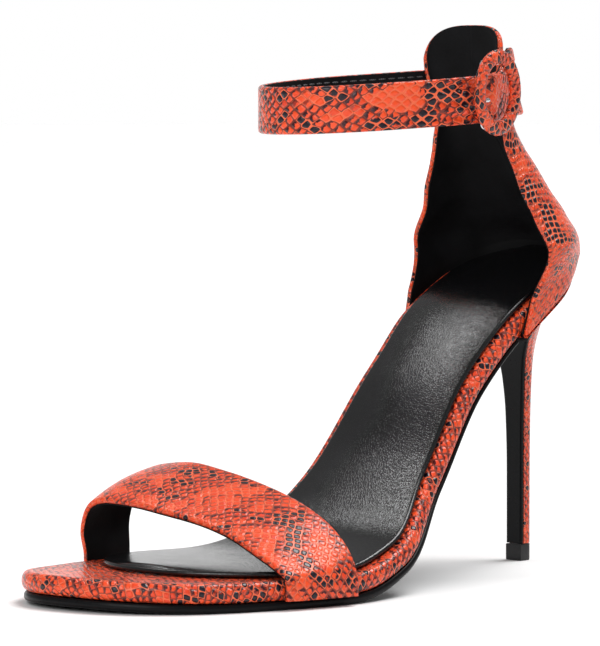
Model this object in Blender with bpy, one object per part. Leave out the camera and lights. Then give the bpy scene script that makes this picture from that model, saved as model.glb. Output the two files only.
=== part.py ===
"""Ankle strap sandal with a slim high heel, left shoe, standing empty on its sole.

The toe points to -Y, the outer side of the foot is +X and up is +Z. Sizes are in millimetres
and become metres when a mesh is made. The footbed is drawn flat, along its own curve, and then
laid on the side profile of the last; the counter, straps and heel are walls and lofts round it.
"""
import math
from collections import namedtuple

import bmesh
import bpy
import numpy as np

MM = 0.001

# Footbed, measured on the last
FOOT_LENGTH = 209.0      # toe to back, along the floor
BALL_WIDTH = 83.0        # share one of the half widths below
HEEL_RISE = 90.3         # back of the footbed above the ball
TOE_SPRING = 1.5         # tip of the toe above the ball
SPRING_START = 0.83      # share of the length from the back where the toe starts to rise
BALL_END = 0.72          # and where the slope has come down to the ball
BOARD_THICKNESS = 6.0    # wrapped edge that shows round the insole
BOARD_ROUNDING = 2.0
SOLE_THICKNESS = 2.7     # under the ball
SOLE_INSET = 0.9
SOLE_ROUNDING = 0.8
SOLE_THINNING = 0.5      # share of the thickness lost under the arch
SOLE_THIN_END = 0.36     # share of the length where it starts to grow again
SOLE_THIN_RUN = 0.24
INSOLE_THICKNESS = 1.8
INSOLE_INSET = 2.4
INSOLE_FORE_INSET = 2.4  # further inset beside the toes
INSOLE_TOE_MARGIN = 30.0
INSOLE_BACK = 0.018      # shares of the footbed's length: back of the insole,
INSOLE_ROUND_BACK = 0.10     # end of its round back,
INSOLE_ROUND_START = 0.70    # start of its round front,
INSET_START = 0.46           # and where it starts to stand further in
INSET_RUN = 0.14
FRONT_POWER = 2.2        # powers of the round front and back, two is an ellipse
BACK_POWER = 2.6
GAP = 0.3                # between pieces that touch on the real shoe

# Uppers
WALL = 2.0               # straps and counter
COUNTER_HEIGHT = 71.6    # footbed at the back to the top of the tab
HEEL_WIDTH = 60.4        # widest part of the counter
COUNTER_LEAN = 36.0      # how far the tab stands forward of the back of the heel
TAB_ROUNDING = 10.5      # fall of the tab's top edge at its corners
TAB_INNER_POWER = 2.8    # how suddenly it falls on either side
TAB_OUTER_POWER = 3.0
COUNTER_FOOT = 5.6       # lower edge of the counter, below the footbed's top
COUNTER_TUCK = 1.0       # how far that edge turns in under the footbed
COUNTER_OVER = 1.5       # height above the footbed over which its slope goes on
COUNTER_BLEND = 14.0     # height over which the wall leaves the footbed's outline
TOE_STRAP_FRONT = 163.0  # front edge, from the back of the footbed
TOE_STRAP_BACK = 137.0
TOE_STRAP_FRONT_HEIGHT = 25.5
TOE_STRAP_BACK_HEIGHT = 35.8
TOE_STRAP_BULGE = 1.2
ANKLE_STRAP_WIDTH = 14.8
ANKLE_STRAP_HEIGHT = 148.4   # middle of the strap above the floor
ANKLE_FORE = 46.6        # outside the loop, from its widest place to the front
ANKLE_AFT = 46.8         # and to the back, where it lies on the tab
ANKLE_WIDTH = 70.0
ANKLE_FRONT = 118.9      # front of the loop, from the back of the footbed
STRAP_LEAN = 5.6         # forward lean of the loop at the counter
LEAN_FULL = 38.0         # distance behind the widest place where it is reached
TILT_SIDE = 0.045        # rise of the loop per millimetre outward
TILT_BACK = 0.03         # and per millimetre backward

# Heel
TIP_WIDTH = 6.5
TIP_DEPTH = 6.0
TIP_HEIGHT = 5.2
TIP_BACK = 9.0           # back of the heel column, from the back of the footbed
SEAT_FRONT = 39.5        # front of the heel seat, from the back of the footbed
BREAST_THICKNESS = 1.0
TIP_TAPER = 0.93         # size of the top piece where it meets the floor
TIP_BEVEL = 0.6
SEAT_TURN = 118.0        # degrees that the heel seat reaches round each side
HEEL_LEVELS = (0.0, 0.15, 0.3, 0.42, 0.52, 0.61, 0.69, 0.76, 0.82, 0.87, 0.91, 0.945, 0.975, 1.0)
BACK_POINTS = 21         # round the back of the heel
FRONT_POINTS = 5         # across its flat front

# Buckle
RING_HEIGHT = 26.8
RING_WIDTH = 24.6
RING_BAND = 4.8
RING_THICKNESS = 3.0
RING_STEPS = 40
RING_SIDES = 10
RING_RAISE = 1.9         # middle of the ring above the middle of the strap
BUCKLE_ANGLE = 12.5      # place on the loop, degrees behind the outer side
BAR_RADIUS = 0.9
RING_CLEARANCE = 0.7     # between the flat ring and the curved strap
BAR_INSET = 1.7          # bar's upper end from the middle of the ring's band
BAR_CLEARANCE = 0.8      # degrees between the bar and the strap that holds it
PRONG_RADIUS = 0.8
PRONG_STEP = 5.2         # prong's hole, in front of the bar
LAP_START = 335.0        # where the strap lifts off to pass over the bar, degrees
LAP_LENGTH = 20.0
TAIL_ANGLE = 50.0        # end of the strap on the loop, degrees
TAIL_OUT = 0.8
TAIL_LIFT = 7.2          # rise of the strap's end
TAIL_START = 385.0       # where it rises and narrows
TAIL_NARROW = 0.68       # share of the width lost at the end

STATIONS = 44            # cross sections along the footbed
END_TURN = 3.0           # degrees left open at the round ends of the outline
OUTLINE_POINTS = 60
SEAT_REACH = 75.0        # degrees of the footbed's outline that count as its back
SEAT_CENTRE = 0.125      # widest place of the heel, share of the length from the back
SEAT_TUCK = 0.45         # forward slope of the edge at the back of the heel
SEAT_TUCK_END = 0.2      # share of the length over which that slope fades

FootRow = namedtuple("FootRow", "along rise lateral medial")
FOOT_ROWS = (
    #       along  rise   lateral medial
    FootRow(0.00, 1.000, 0.000, 0.000),
    FootRow(0.05, 0.957, 0.234, 0.242),
    FootRow(0.11, 0.896, 0.292, 0.298),
    FootRow(0.20, 0.787, 0.310, 0.283),
    FootRow(0.30, 0.597, 0.324, 0.243),
    FootRow(0.42, 0.290, 0.393, 0.239),
    FootRow(0.54, 0.066, 0.525, 0.325),
    FootRow(0.64, 0.004, 0.558, 0.432),
    FootRow(0.72, 0.000, 0.528, 0.490),
    FootRow(0.80, 0.000, 0.476, 0.512),
    FootRow(0.88, 0.000, 0.392, 0.486),
    FootRow(0.94, 0.000, 0.270, 0.430),
    FootRow(0.98, 0.000, 0.112, 0.328),
    FootRow(1.00, 0.000, -0.165, 0.165),
)

CounterRow = namedtuple("CounterRow", "up width depth lean edge")
COUNTER_ROWS = (
    #          up     width  depth  lean  edge angle
    CounterRow(-0.34, 0.500, 0.430, 0.000, 121.0),
    CounterRow(-0.14, 0.500, 0.430, 0.000, 106.0),
    CounterRow(0.02, 0.496, 0.430, 0.040, 99.0),
    CounterRow(0.17, 0.417, 0.364, 0.150, 105.0),
    CounterRow(0.27, 0.368, 0.315, 0.305, 106.0),
    CounterRow(0.38, 0.313, 0.273, 0.440, 103.0),
    CounterRow(0.48, 0.268, 0.240, 0.580, 97.0),
    CounterRow(0.56, 0.254, 0.190, 0.695, 92.0),
    CounterRow(0.68, 0.258, 0.140, 0.825, 88.0),
    CounterRow(0.81, 0.272, 0.110, 0.945, 86.0),
    CounterRow(0.92, 0.280, 0.100, 0.965, 84.0),
    CounterRow(1.00, 0.280, 0.100, 0.965, 84.0),
)

StrapRow = namedtuple("StrapRow", "around across_front up_front across_back up_back")
TOE_STRAP_ROWS = (
    # across runs from the inner to the outer side of the footbed, up is a share of the height
    StrapRow(0.00, 0.000, 0.000, 0.000, 0.000),
    StrapRow(0.10, 0.000, 0.270, -0.030, 0.270),
    StrapRow(0.20, -0.016, 0.560, -0.055, 0.550),
    StrapRow(0.28, 0.002, 0.800, -0.050, 0.780),
    StrapRow(0.34, 0.045, 0.945, 0.000, 0.925),
    StrapRow(0.40, 0.120, 0.995, 0.075, 0.980),
    StrapRow(0.47, 0.230, 0.985, 0.190, 1.005),
    StrapRow(0.58, 0.400, 0.925, 0.370, 0.955),
    StrapRow(0.68, 0.560, 0.855, 0.550, 0.870),
    StrapRow(0.77, 0.700, 0.745, 0.715, 0.755),
    StrapRow(0.86, 0.835, 0.560, 0.865, 0.580),
    StrapRow(0.92, 0.945, 0.390, 0.955, 0.380),
    StrapRow(0.955, 0.995, 0.270, 0.990, 0.220),
    StrapRow(0.975, 1.000, 0.140, 1.000, 0.110),
    StrapRow(1.00, 1.000, 0.000, 1.000, 0.000),
)

LoopRow = namedtuple("LoopRow", "turn wide long")
LOOP_ROWS = (
    # plan of the ankle loop from its widest place to the back: straight to the tab, then round it
    LoopRow(0.0, 1.000, 0.000),
    LoopRow(12.0, 0.985, 0.120),
    LoopRow(26.0, 0.920, 0.270),
    LoopRow(40.0, 0.790, 0.450),
    LoopRow(55.0, 0.594, 0.697),
    LoopRow(66.0, 0.474, 0.872),
    LoopRow(76.0, 0.275, 0.965),
    LoopRow(90.0, 0.000, 1.000),
)

HeelRow = namedtuple("HeelRow", "up front back side")
HEEL_ROWS = (
    # shares of the way from the tip's outline to the seat's outline
    HeelRow(0.00, 0.000, 0.000, 0.000),
    HeelRow(0.30, 0.002, 0.005, 0.002),
    HeelRow(0.50, 0.012, 0.030, 0.018),
    HeelRow(0.62, 0.033, 0.090, 0.048),
    HeelRow(0.72, 0.070, 0.300, 0.100),
    HeelRow(0.80, 0.130, 0.590, 0.210),
    HeelRow(0.87, 0.240, 0.830, 0.350),
    HeelRow(0.93, 0.440, 0.960, 0.590),
    HeelRow(0.97, 0.680, 0.990, 0.810),
    HeelRow(1.00, 1.000, 1.000, 1.000),
)

# Places that follow from the sizes above
FOOT_BACK = TIP_BACK + TIP_DEPTH / 2        # Y of the back of the footbed, the heel tip is at Y zero
BALL_TOP = SOLE_THICKNESS + GAP + BOARD_THICKNESS
SEAT_TOP = BALL_TOP + HEEL_RISE
STRAP_FOOT = SOLE_THICKNESS + GAP           # ends of the toe strap, level with the outsole's top
COUNTER_OFFSET = GAP + 1.2 * WALL           # outer face of the sloping counter, outside the footbed


def column(rows, name):
    """One named column of a table as an array."""
    return np.array([getattr(row, name) for row in rows], float)


def smooth_curve(knots, values, places):
    """Monotone cubic curve through the knots: each slope is the harmonic mean of its neighbours."""
    knots = np.asarray(knots, float)
    values = np.asarray(values, float)
    steps = np.diff(knots)
    rises = np.diff(values) / steps
    slopes = np.zeros(len(knots))
    slopes[0] = rises[0]
    slopes[-1] = rises[-1]
    same = rises[:-1] * rises[1:] > 0
    before = 2 * steps[1:] + steps[:-1]
    after = steps[1:] + 2 * steps[:-1]
    with np.errstate(divide="ignore", invalid="ignore"):
        mean = (before + after) / (before / rises[:-1] + after / rises[1:])
    slopes[1:-1] = np.where(same, mean, 0.0)
    places = np.asarray(places, float)
    k = np.clip(np.searchsorted(knots, places) - 1, 0, len(steps) - 1)
    t = np.clip((places - knots[k]) / steps[k], 0.0, 1.0)
    return ((1 + 2 * t) * (1 - t) ** 2 * values[k] + t * (1 - t) ** 2 * steps[k] * slopes[k]
            + t * t * (3 - 2 * t) * values[k + 1] + t * t * (t - 1) * steps[k] * slopes[k + 1])


def smooth_step(value):
    """Zero below zero, one above one, with a smooth rise between."""
    t = np.clip(value, 0.0, 1.0)
    return t * t * (3 - 2 * t)


def polar_share(share):
    """Turns a share along the foot into an angle, so that round ends are drawn evenly."""
    return np.arccos(1 - 2 * np.clip(share, 0.0, 1.0))


# Side profile of the last: heights against the distance from the back, rounded by a moving mean
PROFILE_POINTS = 401
ROUNDING_POINTS = 15
PROFILE_SHARES = np.linspace(0.0, 1.0, PROFILE_POINTS)


def last_profile():
    """Side view of the footbed's top: Y, Z, length along the curve and the downward normal."""
    rise = smooth_curve(column(FOOT_ROWS, "along"), column(FOOT_ROWS, "rise"), PROFILE_SHARES)
    margin = ROUNDING_POINTS
    before = 2 * rise[0] - rise[margin:0:-1]
    after = 2 * rise[-1] - rise[-2:-margin - 2:-1]
    weights = np.hanning(2 * margin + 3)[1:-1]
    rounded = np.convolve(np.concatenate([before, rise, after]), weights / weights.sum(), "valid")
    spring = TOE_SPRING * np.clip((PROFILE_SHARES - SPRING_START) / (1 - SPRING_START), 0.0, 1.0) ** 2
    rounded = np.where(PROFILE_SHARES > BALL_END, 0.0, rounded)
    y = FOOT_BACK - PROFILE_SHARES * FOOT_LENGTH
    z = BALL_TOP + rounded * HEEL_RISE + spring
    length = np.concatenate([[0.0], np.cumsum(np.hypot(np.diff(y), np.diff(z)))])
    slope_y = np.gradient(y, length)
    slope_z = np.gradient(z, length)
    tuck = smooth_step(PROFILE_SHARES / SEAT_TUCK_END)
    return y, z, length, -slope_z * tuck - SEAT_TUCK * (1 - tuck), -slope_y


PROFILE_Y, PROFILE_Z, PROFILE_LENGTH, DOWN_Y, DOWN_Z = last_profile()


def on_last(x, length, drop):
    """World point at x across, a length along the footbed and a drop below its top."""
    y = np.interp(length, PROFILE_LENGTH, PROFILE_Y) + drop * np.interp(length, PROFILE_LENGTH, DOWN_Y)
    z = np.interp(length, PROFILE_LENGTH, PROFILE_Z) - drop * np.interp(length, PROFILE_LENGTH, DOWN_Z)
    return np.stack([x, y, z], axis=-1)


def under_last(y, drop):
    """Height of the surface that lies a drop below the footbed's top, at a world Y."""
    below_y = PROFILE_Y + drop * DOWN_Y
    below_z = PROFILE_Z - drop * DOWN_Z
    order = np.argsort(below_y)
    return np.interp(y, below_y[order], below_z[order])


def share_under(y, drop):
    """Share of the footbed's length whose point at a drop below the top has a world Y."""
    below_y = PROFILE_Y + drop * DOWN_Y
    order = np.argsort(below_y)
    return float(np.interp(y, below_y[order], PROFILE_SHARES[order]))


def half_widths(share):
    """Outer and inner half width of the footbed at a share of its length."""
    knots = polar_share(column(FOOT_ROWS, "along"))
    places = polar_share(share)
    lateral = smooth_curve(knots, column(FOOT_ROWS, "lateral"), places) * BALL_WIDTH
    medial = smooth_curve(knots, column(FOOT_ROWS, "medial"), places) * BALL_WIDTH
    return lateral, medial


def even_shares(start, end):
    """Shares of the footbed's length between two places, closer together at its round ends."""
    first = max(float(polar_share(start)), math.radians(END_TURN))
    last = min(float(polar_share(end)), math.pi - math.radians(END_TURN))
    return (1 - np.cos(np.linspace(first, last, STATIONS))) / 2


def flat_outline(start, end, inset=0.0):
    """Outer and inner edge of the footbed drawn flat, as rows of x and length, moved inward."""
    share = even_shares(start, end)
    lateral, medial = half_widths(share)
    length = np.interp(share, PROFILE_SHARES, PROFILE_LENGTH)
    return moved_inward(np.stack([lateral, length], -1), np.stack([-medial, length], -1), inset)


def moved_inward(outer, inner, inset):
    """Moves both edges of a flat outline inward by an inset, along their own normals."""
    moved = []
    for edge, sign in ((outer, 1.0), (inner, -1.0)):
        along = np.gradient(edge, axis=0)
        along /= np.linalg.norm(along, axis=1, keepdims=True)
        normal = np.stack([along[:, 1], -along[:, 0]], -1) * sign
        moved.append(edge - normal * inset)
    return moved[0], moved[1]


def material(name, colour, roughness, metallic=0.0):
    """Principled material from an sRGB hex colour."""
    mat = bpy.data.materials.new(name)
    mat.use_nodes = True
    shader = mat.node_tree.nodes["Principled BSDF"]
    parts = [int(colour[i:i + 2], 16) / 255 for i in (0, 2, 4)]
    linear = [c / 12.92 if c <= 0.04045 else ((c + 0.055) / 1.055) ** 2.4 for c in parts]
    shader.inputs["Base Color"].default_value = (*linear, 1.0)
    shader.inputs["Roughness"].default_value = roughness
    shader.inputs["Metallic"].default_value = metallic
    return mat


def mesh_object(name, points, faces, mat):
    """One object from points in millimetres, with its faces turned outward and shaded smooth."""
    mesh = bpy.data.meshes.new(name)
    mesh.from_pydata([tuple(p) for p in np.asarray(points, float) * MM], [], faces)
    shape = bmesh.new()
    shape.from_mesh(mesh)
    bmesh.ops.recalc_face_normals(shape, faces=shape.faces[:])
    shape.to_mesh(mesh)
    shape.free()
    mesh.shade_smooth()
    mesh.set_sharp_from_angle(angle=math.radians(40))
    mesh.materials.append(mat)
    item = bpy.data.objects.new(name, mesh)
    bpy.data.collections[COLLECTION].objects.link(item)
    return item


def grid_faces(rows, columns, first, flip=False):
    """Quads of a grid whose points start at an index."""
    faces = []
    for i in range(rows - 1):
        for j in range(columns - 1):
            a = first + i * columns + j
            quad = (a, a + 1, a + columns + 1, a + columns)
            faces.append(quad[::-1] if flip else quad)
    return faces


def wall(name, outer, inner, mat):
    """Closed wall between an outer and an inner grid of points of the same size."""
    rows, columns = outer.shape[:2]
    points = np.concatenate([outer.reshape(-1, 3), inner.reshape(-1, 3)])
    second = rows * columns
    faces = grid_faces(rows, columns, 0) + grid_faces(rows, columns, second, flip=True)
    border = [(i, 0) for i in range(rows)] + [(rows - 1, j) for j in range(1, columns)]
    border += [(i, columns - 1) for i in range(rows - 2, -1, -1)]
    border += [(0, j) for j in range(columns - 2, 0, -1)]
    ring = [i * columns + j for i, j in border]
    for here, there in zip(ring, ring[1:] + ring[:1]):
        faces.append((here, there, second + there, second + here))
    return mesh_object(name, points, faces, mat)


def plate(name, outer, inner, top, thickness, rounding, mat, columns=5):
    """Closed plate along the last: its edge is half an ellipse and ladders close its two faces."""
    rings = []
    for turn in np.linspace(0.0, math.pi, 5):
        out_edge, in_edge = moved_inward(outer, inner, rounding * (1 - math.sin(turn)))
        flat = np.concatenate([out_edge, in_edge[::-1]])
        depth = np.concatenate([thickness, thickness[::-1]]) * (1 - math.cos(turn)) / 2
        rings.append(on_last(flat[:, 0], flat[:, 1], top + depth))
    count = len(rings[0])
    stations = len(outer)
    points = [p for ring in rings for p in ring]
    faces = []
    for k in range(len(rings) - 1):
        for i in range(count):
            j = (i + 1) % count
            faces.append((k * count + i, k * count + j, (k + 1) * count + j, (k + 1) * count + i))
    out_edge, in_edge = moved_inward(outer, inner, rounding)
    for ring, share in ((0, 0.0), (len(rings) - 1, 1.0)):
        ladder = np.zeros((stations, columns + 1), int)
        ladder[:, 0] = ring * count + np.arange(stations)
        ladder[:, -1] = ring * count + count - 1 - np.arange(stations)
        for c in range(1, columns):
            flat = out_edge + (in_edge - out_edge) * c / columns
            ladder[:, c] = len(points) + np.arange(stations)
            points.extend(on_last(flat[:, 0], flat[:, 1], top + thickness * share))
        for i in range(stations - 1):
            for c in range(columns):
                faces.append((ladder[i, c], ladder[i, c + 1], ladder[i + 1, c + 1], ladder[i + 1, c]))
        for i in (0, stations - 1):
            faces.append(tuple(ladder[i]))
    faces = [tuple(int(v) for v in face) for face in faces]
    return mesh_object(name, points, faces, mat)


def seat_outline(angle, offset, drop=0.0, tuck=0.0):
    """Outline of the footbed's back as seen from above: a point at a polar angle, moved outward.

    The angle is zero at the back and grows toward the outer side. The outline is taken at a drop
    below the footbed's top, where the slope of the last has moved it backward, less a tuck inward.
    """
    share = (1 - np.cos(np.radians(np.linspace(END_TURN / 3, SEAT_REACH, OUTLINE_POINTS)))) / 2
    lateral, medial = half_widths(share)
    length = np.interp(share, PROFILE_SHARES, PROFILE_LENGTH)
    outer = on_last(lateral, length, 0.0)[:, :2]
    inner = on_last(-medial, length, 0.0)[:, :2]
    edge = np.concatenate([inner[::-1], outer])
    along = np.gradient(edge, axis=0)
    along /= np.linalg.norm(along, axis=1, keepdims=True)
    edge = edge + np.stack([-along[:, 1], along[:, 0]], -1) * offset
    centre = FOOT_BACK - SEAT_CENTRE * FOOT_LENGTH
    polar = np.arctan2(edge[:, 0], edge[:, 1] - centre)
    radius = np.hypot(edge[:, 0], edge[:, 1] - centre)
    reach = np.interp(angle, polar, radius) - tuck
    x = reach * np.sin(angle)
    y = centre + reach * np.cos(angle)
    slope = np.interp(-y, -PROFILE_Y, DOWN_Y)
    return x, y + drop * slope


COUNTER_ANGLES = 25
COUNTER_LEVELS = 16
COUNTER_SPREAD = 1.3     # rows lie closer together near the footbed


def counter_surface(offset):
    """Grid of the counter's outer wall moved inward by an offset: rows go up, columns go round.

    Low down the wall follows the edge of the footbed, and a blend above it leads to ellipses
    that lean forward and narrow to the tab. Its lower edge tucks in round the footbed's edge.
    """
    ups = column(COUNTER_ROWS, "up")
    around = np.linspace(-1.0, 1.0, COUNTER_ANGLES)
    up = np.full(COUNTER_ANGLES, ups[0])
    for _ in range(4):
        angle = around * np.radians(smooth_curve(ups, column(COUNTER_ROWS, "edge"), up))
        seat_y = seat_outline(angle, COUNTER_OFFSET, COUNTER_FOOT, COUNTER_TUCK)[1]
        lowest = under_last(seat_y, COUNTER_FOOT)
        up = (lowest - SEAT_TOP) / COUNTER_HEIGHT
    tab_half = COUNTER_ROWS[-1].width * HEEL_WIDTH
    power = np.where(around < 0, TAB_INNER_POWER, TAB_OUTER_POWER)
    highest = SEAT_TOP + COUNTER_HEIGHT + TILT_SIDE * tab_half * around
    highest -= TAB_ROUNDING * np.abs(around) ** power
    rows = []
    for step in np.linspace(0.0, 1.0, COUNTER_LEVELS) ** COUNTER_SPREAD:
        level = lowest + (highest - lowest) * step
        up = (level - SEAT_TOP) / COUNTER_HEIGHT
        angle = around * np.radians(smooth_curve(ups, column(COUNTER_ROWS, "edge"), up))
        width = smooth_curve(ups, column(COUNTER_ROWS, "width"), up) * HEEL_WIDTH
        depth = smooth_curve(ups, column(COUNTER_ROWS, "depth"), up) * HEEL_WIDTH
        lean = smooth_curve(ups, column(COUNTER_ROWS, "lean"), up) * COUNTER_LEAN
        centre = FOOT_BACK + WALL * 0.5 - lean - depth
        free_x = width * np.sin(angle)
        free_y = centre + depth * np.cos(angle)
        seat_y = seat_outline(angle, COUNTER_OFFSET)[1]
        below = np.clip(under_last(seat_y, 0.0) - level, -COUNTER_OVER, COUNTER_FOOT)
        tuck = COUNTER_TUCK * np.clip(below / COUNTER_FOOT, 0.0, 1.0) ** 5
        seat_x, seat_y = seat_outline(angle, COUNTER_OFFSET, below, tuck)
        share = smooth_step((level - under_last(seat_y, 0.0)) / COUNTER_BLEND)
        x = seat_x + (free_x - seat_x) * share
        y = seat_y + (free_y - seat_y) * share
        rows.append(np.stack([x, y, level], -1))
    surface = np.array(rows)
    surface = surface - grid_normals(surface) * offset
    surface[0, :, 2] = under_last(surface[0, :, 1], COUNTER_FOOT)
    surface[-1, :, 2] = highest
    return surface


def grid_normals(surface):
    """Unit normals of a grid, from the cross product of its two directions."""
    up = np.gradient(surface, axis=0)
    along = np.gradient(surface, axis=1)
    normal = np.cross(up, along)
    return normal / np.linalg.norm(normal, axis=2, keepdims=True)


def toe_strap_surface(offset, around=29, across=7):
    """Grid of the toe strap's outer face moved inward: rows go round the foot, columns go back.

    Each column stands on the footbed's edge at its own place, and its form is a blend of the
    front edge's and the back edge's.
    """
    knots = column(TOE_STRAP_ROWS, "around")
    turns = np.linspace(0.0, 1.0, around)
    front_share, front_up, back_share, back_up = (
        smooth_curve(knots, column(TOE_STRAP_ROWS, name), turns)
        for name in ("across_front", "up_front", "across_back", "up_back"))
    surface = []
    for blend in np.linspace(0.0, 1.0, across):
        distance = TOE_STRAP_FRONT + (TOE_STRAP_BACK - TOE_STRAP_FRONT) * blend
        lateral, medial = half_widths(np.array([distance / FOOT_LENGTH]))
        left = -medial[0] - GAP - WALL
        right = lateral[0] + GAP + WALL
        x = left + (right - left) * (front_share + (back_share - front_share) * blend)
        z = TOE_STRAP_FRONT_HEIGHT * front_up * (1 - blend) + TOE_STRAP_BACK_HEIGHT * back_up * blend
        surface.append(np.stack([x, np.full(around, FOOT_BACK - distance), STRAP_FOOT + z], -1))
    surface = np.array(surface).transpose(1, 0, 2)
    share = np.linspace(0.0, 1.0, across)[None, :, None]
    bulge = TOE_STRAP_BULGE * np.sin(math.pi * share) * np.sin(math.pi * turns)[:, None, None]
    surface = surface + grid_normals(surface) * (bulge - offset)
    surface[0, :, 2] = STRAP_FOOT
    surface[-1, :, 2] = STRAP_FOOT
    return surface


def strap_lift(angle):
    """How far the strap stands off the loop where it passes over the buckle strap."""
    lap = smooth_step((angle - LAP_START) / LAP_LENGTH) * (WALL + 2 * GAP)
    return lap + smooth_step((angle - TAIL_START) / LAP_LENGTH) * TAIL_OUT


def loop_plan():
    """Plan of the ankle loop at whole degrees: half an ellipse in front, the table behind."""
    turn = np.arange(361.0)
    x = np.cos(np.radians(turn))
    y = np.sin(np.radians(turn)) * ANKLE_FORE
    behind = turn <= 180
    from_side = np.minimum(turn, 180 - turn)[behind]
    knots = column(LOOP_ROWS, "turn")
    x[behind] = smooth_curve(knots, column(LOOP_ROWS, "wide"), from_side) * np.sign(90.5 - turn[behind])
    y[behind] = smooth_curve(knots, column(LOOP_ROWS, "long"), from_side) * ANKLE_AFT
    x = x * ANKLE_WIDTH / 2
    x[90] = 0.0
    along = np.stack([np.gradient(x), np.gradient(y)], -1)
    along[0] = along[-1] = (0.0, 1.0)
    along /= np.linalg.norm(along, axis=1, keepdims=True)
    return turn, x, y, along[:, 1], -along[:, 0]


LOOP_TURN, LOOP_X, LOOP_Y, LOOP_OUT_X, LOOP_OUT_Y = loop_plan()


def loop_point(angle, across, out):
    """Point of the ankle loop: degrees round it, share of the strap's width, distance outward."""
    turn = angle % 360.0
    lean = STRAP_LEAN * (across - 0.5) * smooth_step(np.interp(turn, LOOP_TURN, LOOP_Y) / LEAN_FULL)
    x = np.interp(turn, LOOP_TURN, LOOP_X) + out * np.interp(turn, LOOP_TURN, LOOP_OUT_X)
    y = np.interp(turn, LOOP_TURN, LOOP_Y) + out * np.interp(turn, LOOP_TURN, LOOP_OUT_Y)
    z = ANKLE_STRAP_HEIGHT + (across - 0.5) * ANKLE_STRAP_WIDTH + TILT_SIDE * x + TILT_BACK * y
    return np.stack([x, y + FOOT_BACK - ANKLE_FRONT + ANKLE_FORE - lean, z], -1)


def strap_wall(name, first, last, steps, lift, mat):
    """Band of the ankle loop between two angles, as a closed wall that rises and narrows at its end."""
    angles = np.linspace(first, last, steps)
    angle, across = np.meshgrid(angles, np.linspace(0.0, 1.0, 4), indexing="ij")
    tail = smooth_step((angle - TAIL_START) / (360 + TAIL_ANGLE - TAIL_START))
    across = 1 - (1 - across) * (1 - TAIL_NARROW * tail)
    out = lift(angle)
    outer = loop_point(angle, across, out)
    inner = loop_point(angle, across, out - WALL)
    outer[..., 2] += TAIL_LIFT * tail
    inner[..., 2] += TAIL_LIFT * tail
    return wall(name, outer, inner, mat)


def heel_outlines(offset_seat, cover):
    """Outlines of the heel's tip and seat: round at the back, flat in front, behind a cover."""
    turns = np.linspace(-1.0, 1.0, BACK_POINTS)
    seat_x, seat_y = seat_outline(turns * math.radians(SEAT_TURN), offset_seat, BOARD_THICKNESS + GAP)
    half = TIP_WIDTH / 2
    tip_x = half * np.sin(turns * math.pi / 2)
    tip_y = TIP_DEPTH / 2 - half + half * np.cos(turns * math.pi / 2)
    outlines = []
    for x, y, front in ((tip_x, tip_y, cover - TIP_DEPTH / 2), (seat_x, seat_y, FOOT_BACK - SEAT_FRONT)):
        y[[0, -1]] = front
        across = np.linspace(x[-1], x[0], FRONT_POINTS + 2)[1:-1]
        along = np.append(y, np.full(FRONT_POINTS, front))
        outlines.append(np.stack([np.concatenate([x, across]), along], -1))
    return outlines


def heel_rings(levels, base):
    """Rings of the heel at shares of its height, the last one following the footbed's underside."""
    tip, seat = heel_outlines(COUNTER_OFFSET - WALL * 0.2, GAP + BREAST_THICKNESS)
    turns = np.linspace(-math.pi, math.pi, BACK_POINTS)
    backward = np.append((1 + np.cos(turns)) / 2, np.zeros(FRONT_POINTS))
    ups = column(HEEL_ROWS, "up")
    rings = []
    for level in levels:
        side, front, back = (smooth_curve(ups, column(HEEL_ROWS, name), [level])[0]
                             for name in ("side", "front", "back"))
        share = np.stack([np.full(len(tip), side), back * backward + front * (1 - backward)], -1)
        flat = tip + share * (seat - tip)
        z = base + level * (under_last(flat[:, 1], BOARD_THICKNESS + GAP) - base)
        rings.append(np.column_stack([flat, z]))
    return rings


def loft(name, rings, mat):
    """Closed loft through rings, each end closed by smaller rings and a middle point."""
    count = len(rings[0])
    points = [p for ring in rings for p in ring]
    faces = []
    for k in range(len(rings) - 1):
        for i in range(count):
            j = (i + 1) % count
            faces.append((k * count + i, k * count + j, (k + 1) * count + j, (k + 1) * count + i))
    for first in (0, (len(rings) - 1) * count):
        ring = np.array(points[first:first + count])
        middle = len(points)
        points.append(ring.mean(axis=0))
        for i in range(count):
            faces.append((first + i, first + (i + 1) % count, middle))
    return mesh_object(name, points, faces, mat)


COLLECTION = "ankle_strap_sandal"


def start():
    """Removes what is in the file and makes the collection that holds the shoe."""
    for item in list(bpy.data.objects):
        bpy.data.objects.remove(item)
    group = bpy.data.collections.new(COLLECTION)
    bpy.context.scene.collection.children.link(group)


def footbed(snake, black_sole, lining):
    """Wrapped board, thin outsole and padded insole, all laid on the last."""
    outer, inner = flat_outline(0.0, 1.0)
    plate("wrapped_board", outer, inner, 0.0, np.full(STATIONS, BOARD_THICKNESS), BOARD_ROUNDING, snake)
    breast_share = share_under(FOOT_BACK - SEAT_FRONT - GAP, BOARD_THICKNESS + GAP + SOLE_THICKNESS / 2)
    outer, inner = flat_outline(breast_share, 1.0, SOLE_INSET)
    thin = 1 - smooth_step((even_shares(breast_share, 1.0) - SOLE_THIN_END) / SOLE_THIN_RUN)
    thickness = SOLE_THICKNESS * (1 - SOLE_THINNING * thin)
    plate("outsole", outer, inner, BOARD_THICKNESS + GAP, thickness, SOLE_ROUNDING, black_sole)
    insole_plate(lining)


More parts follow.
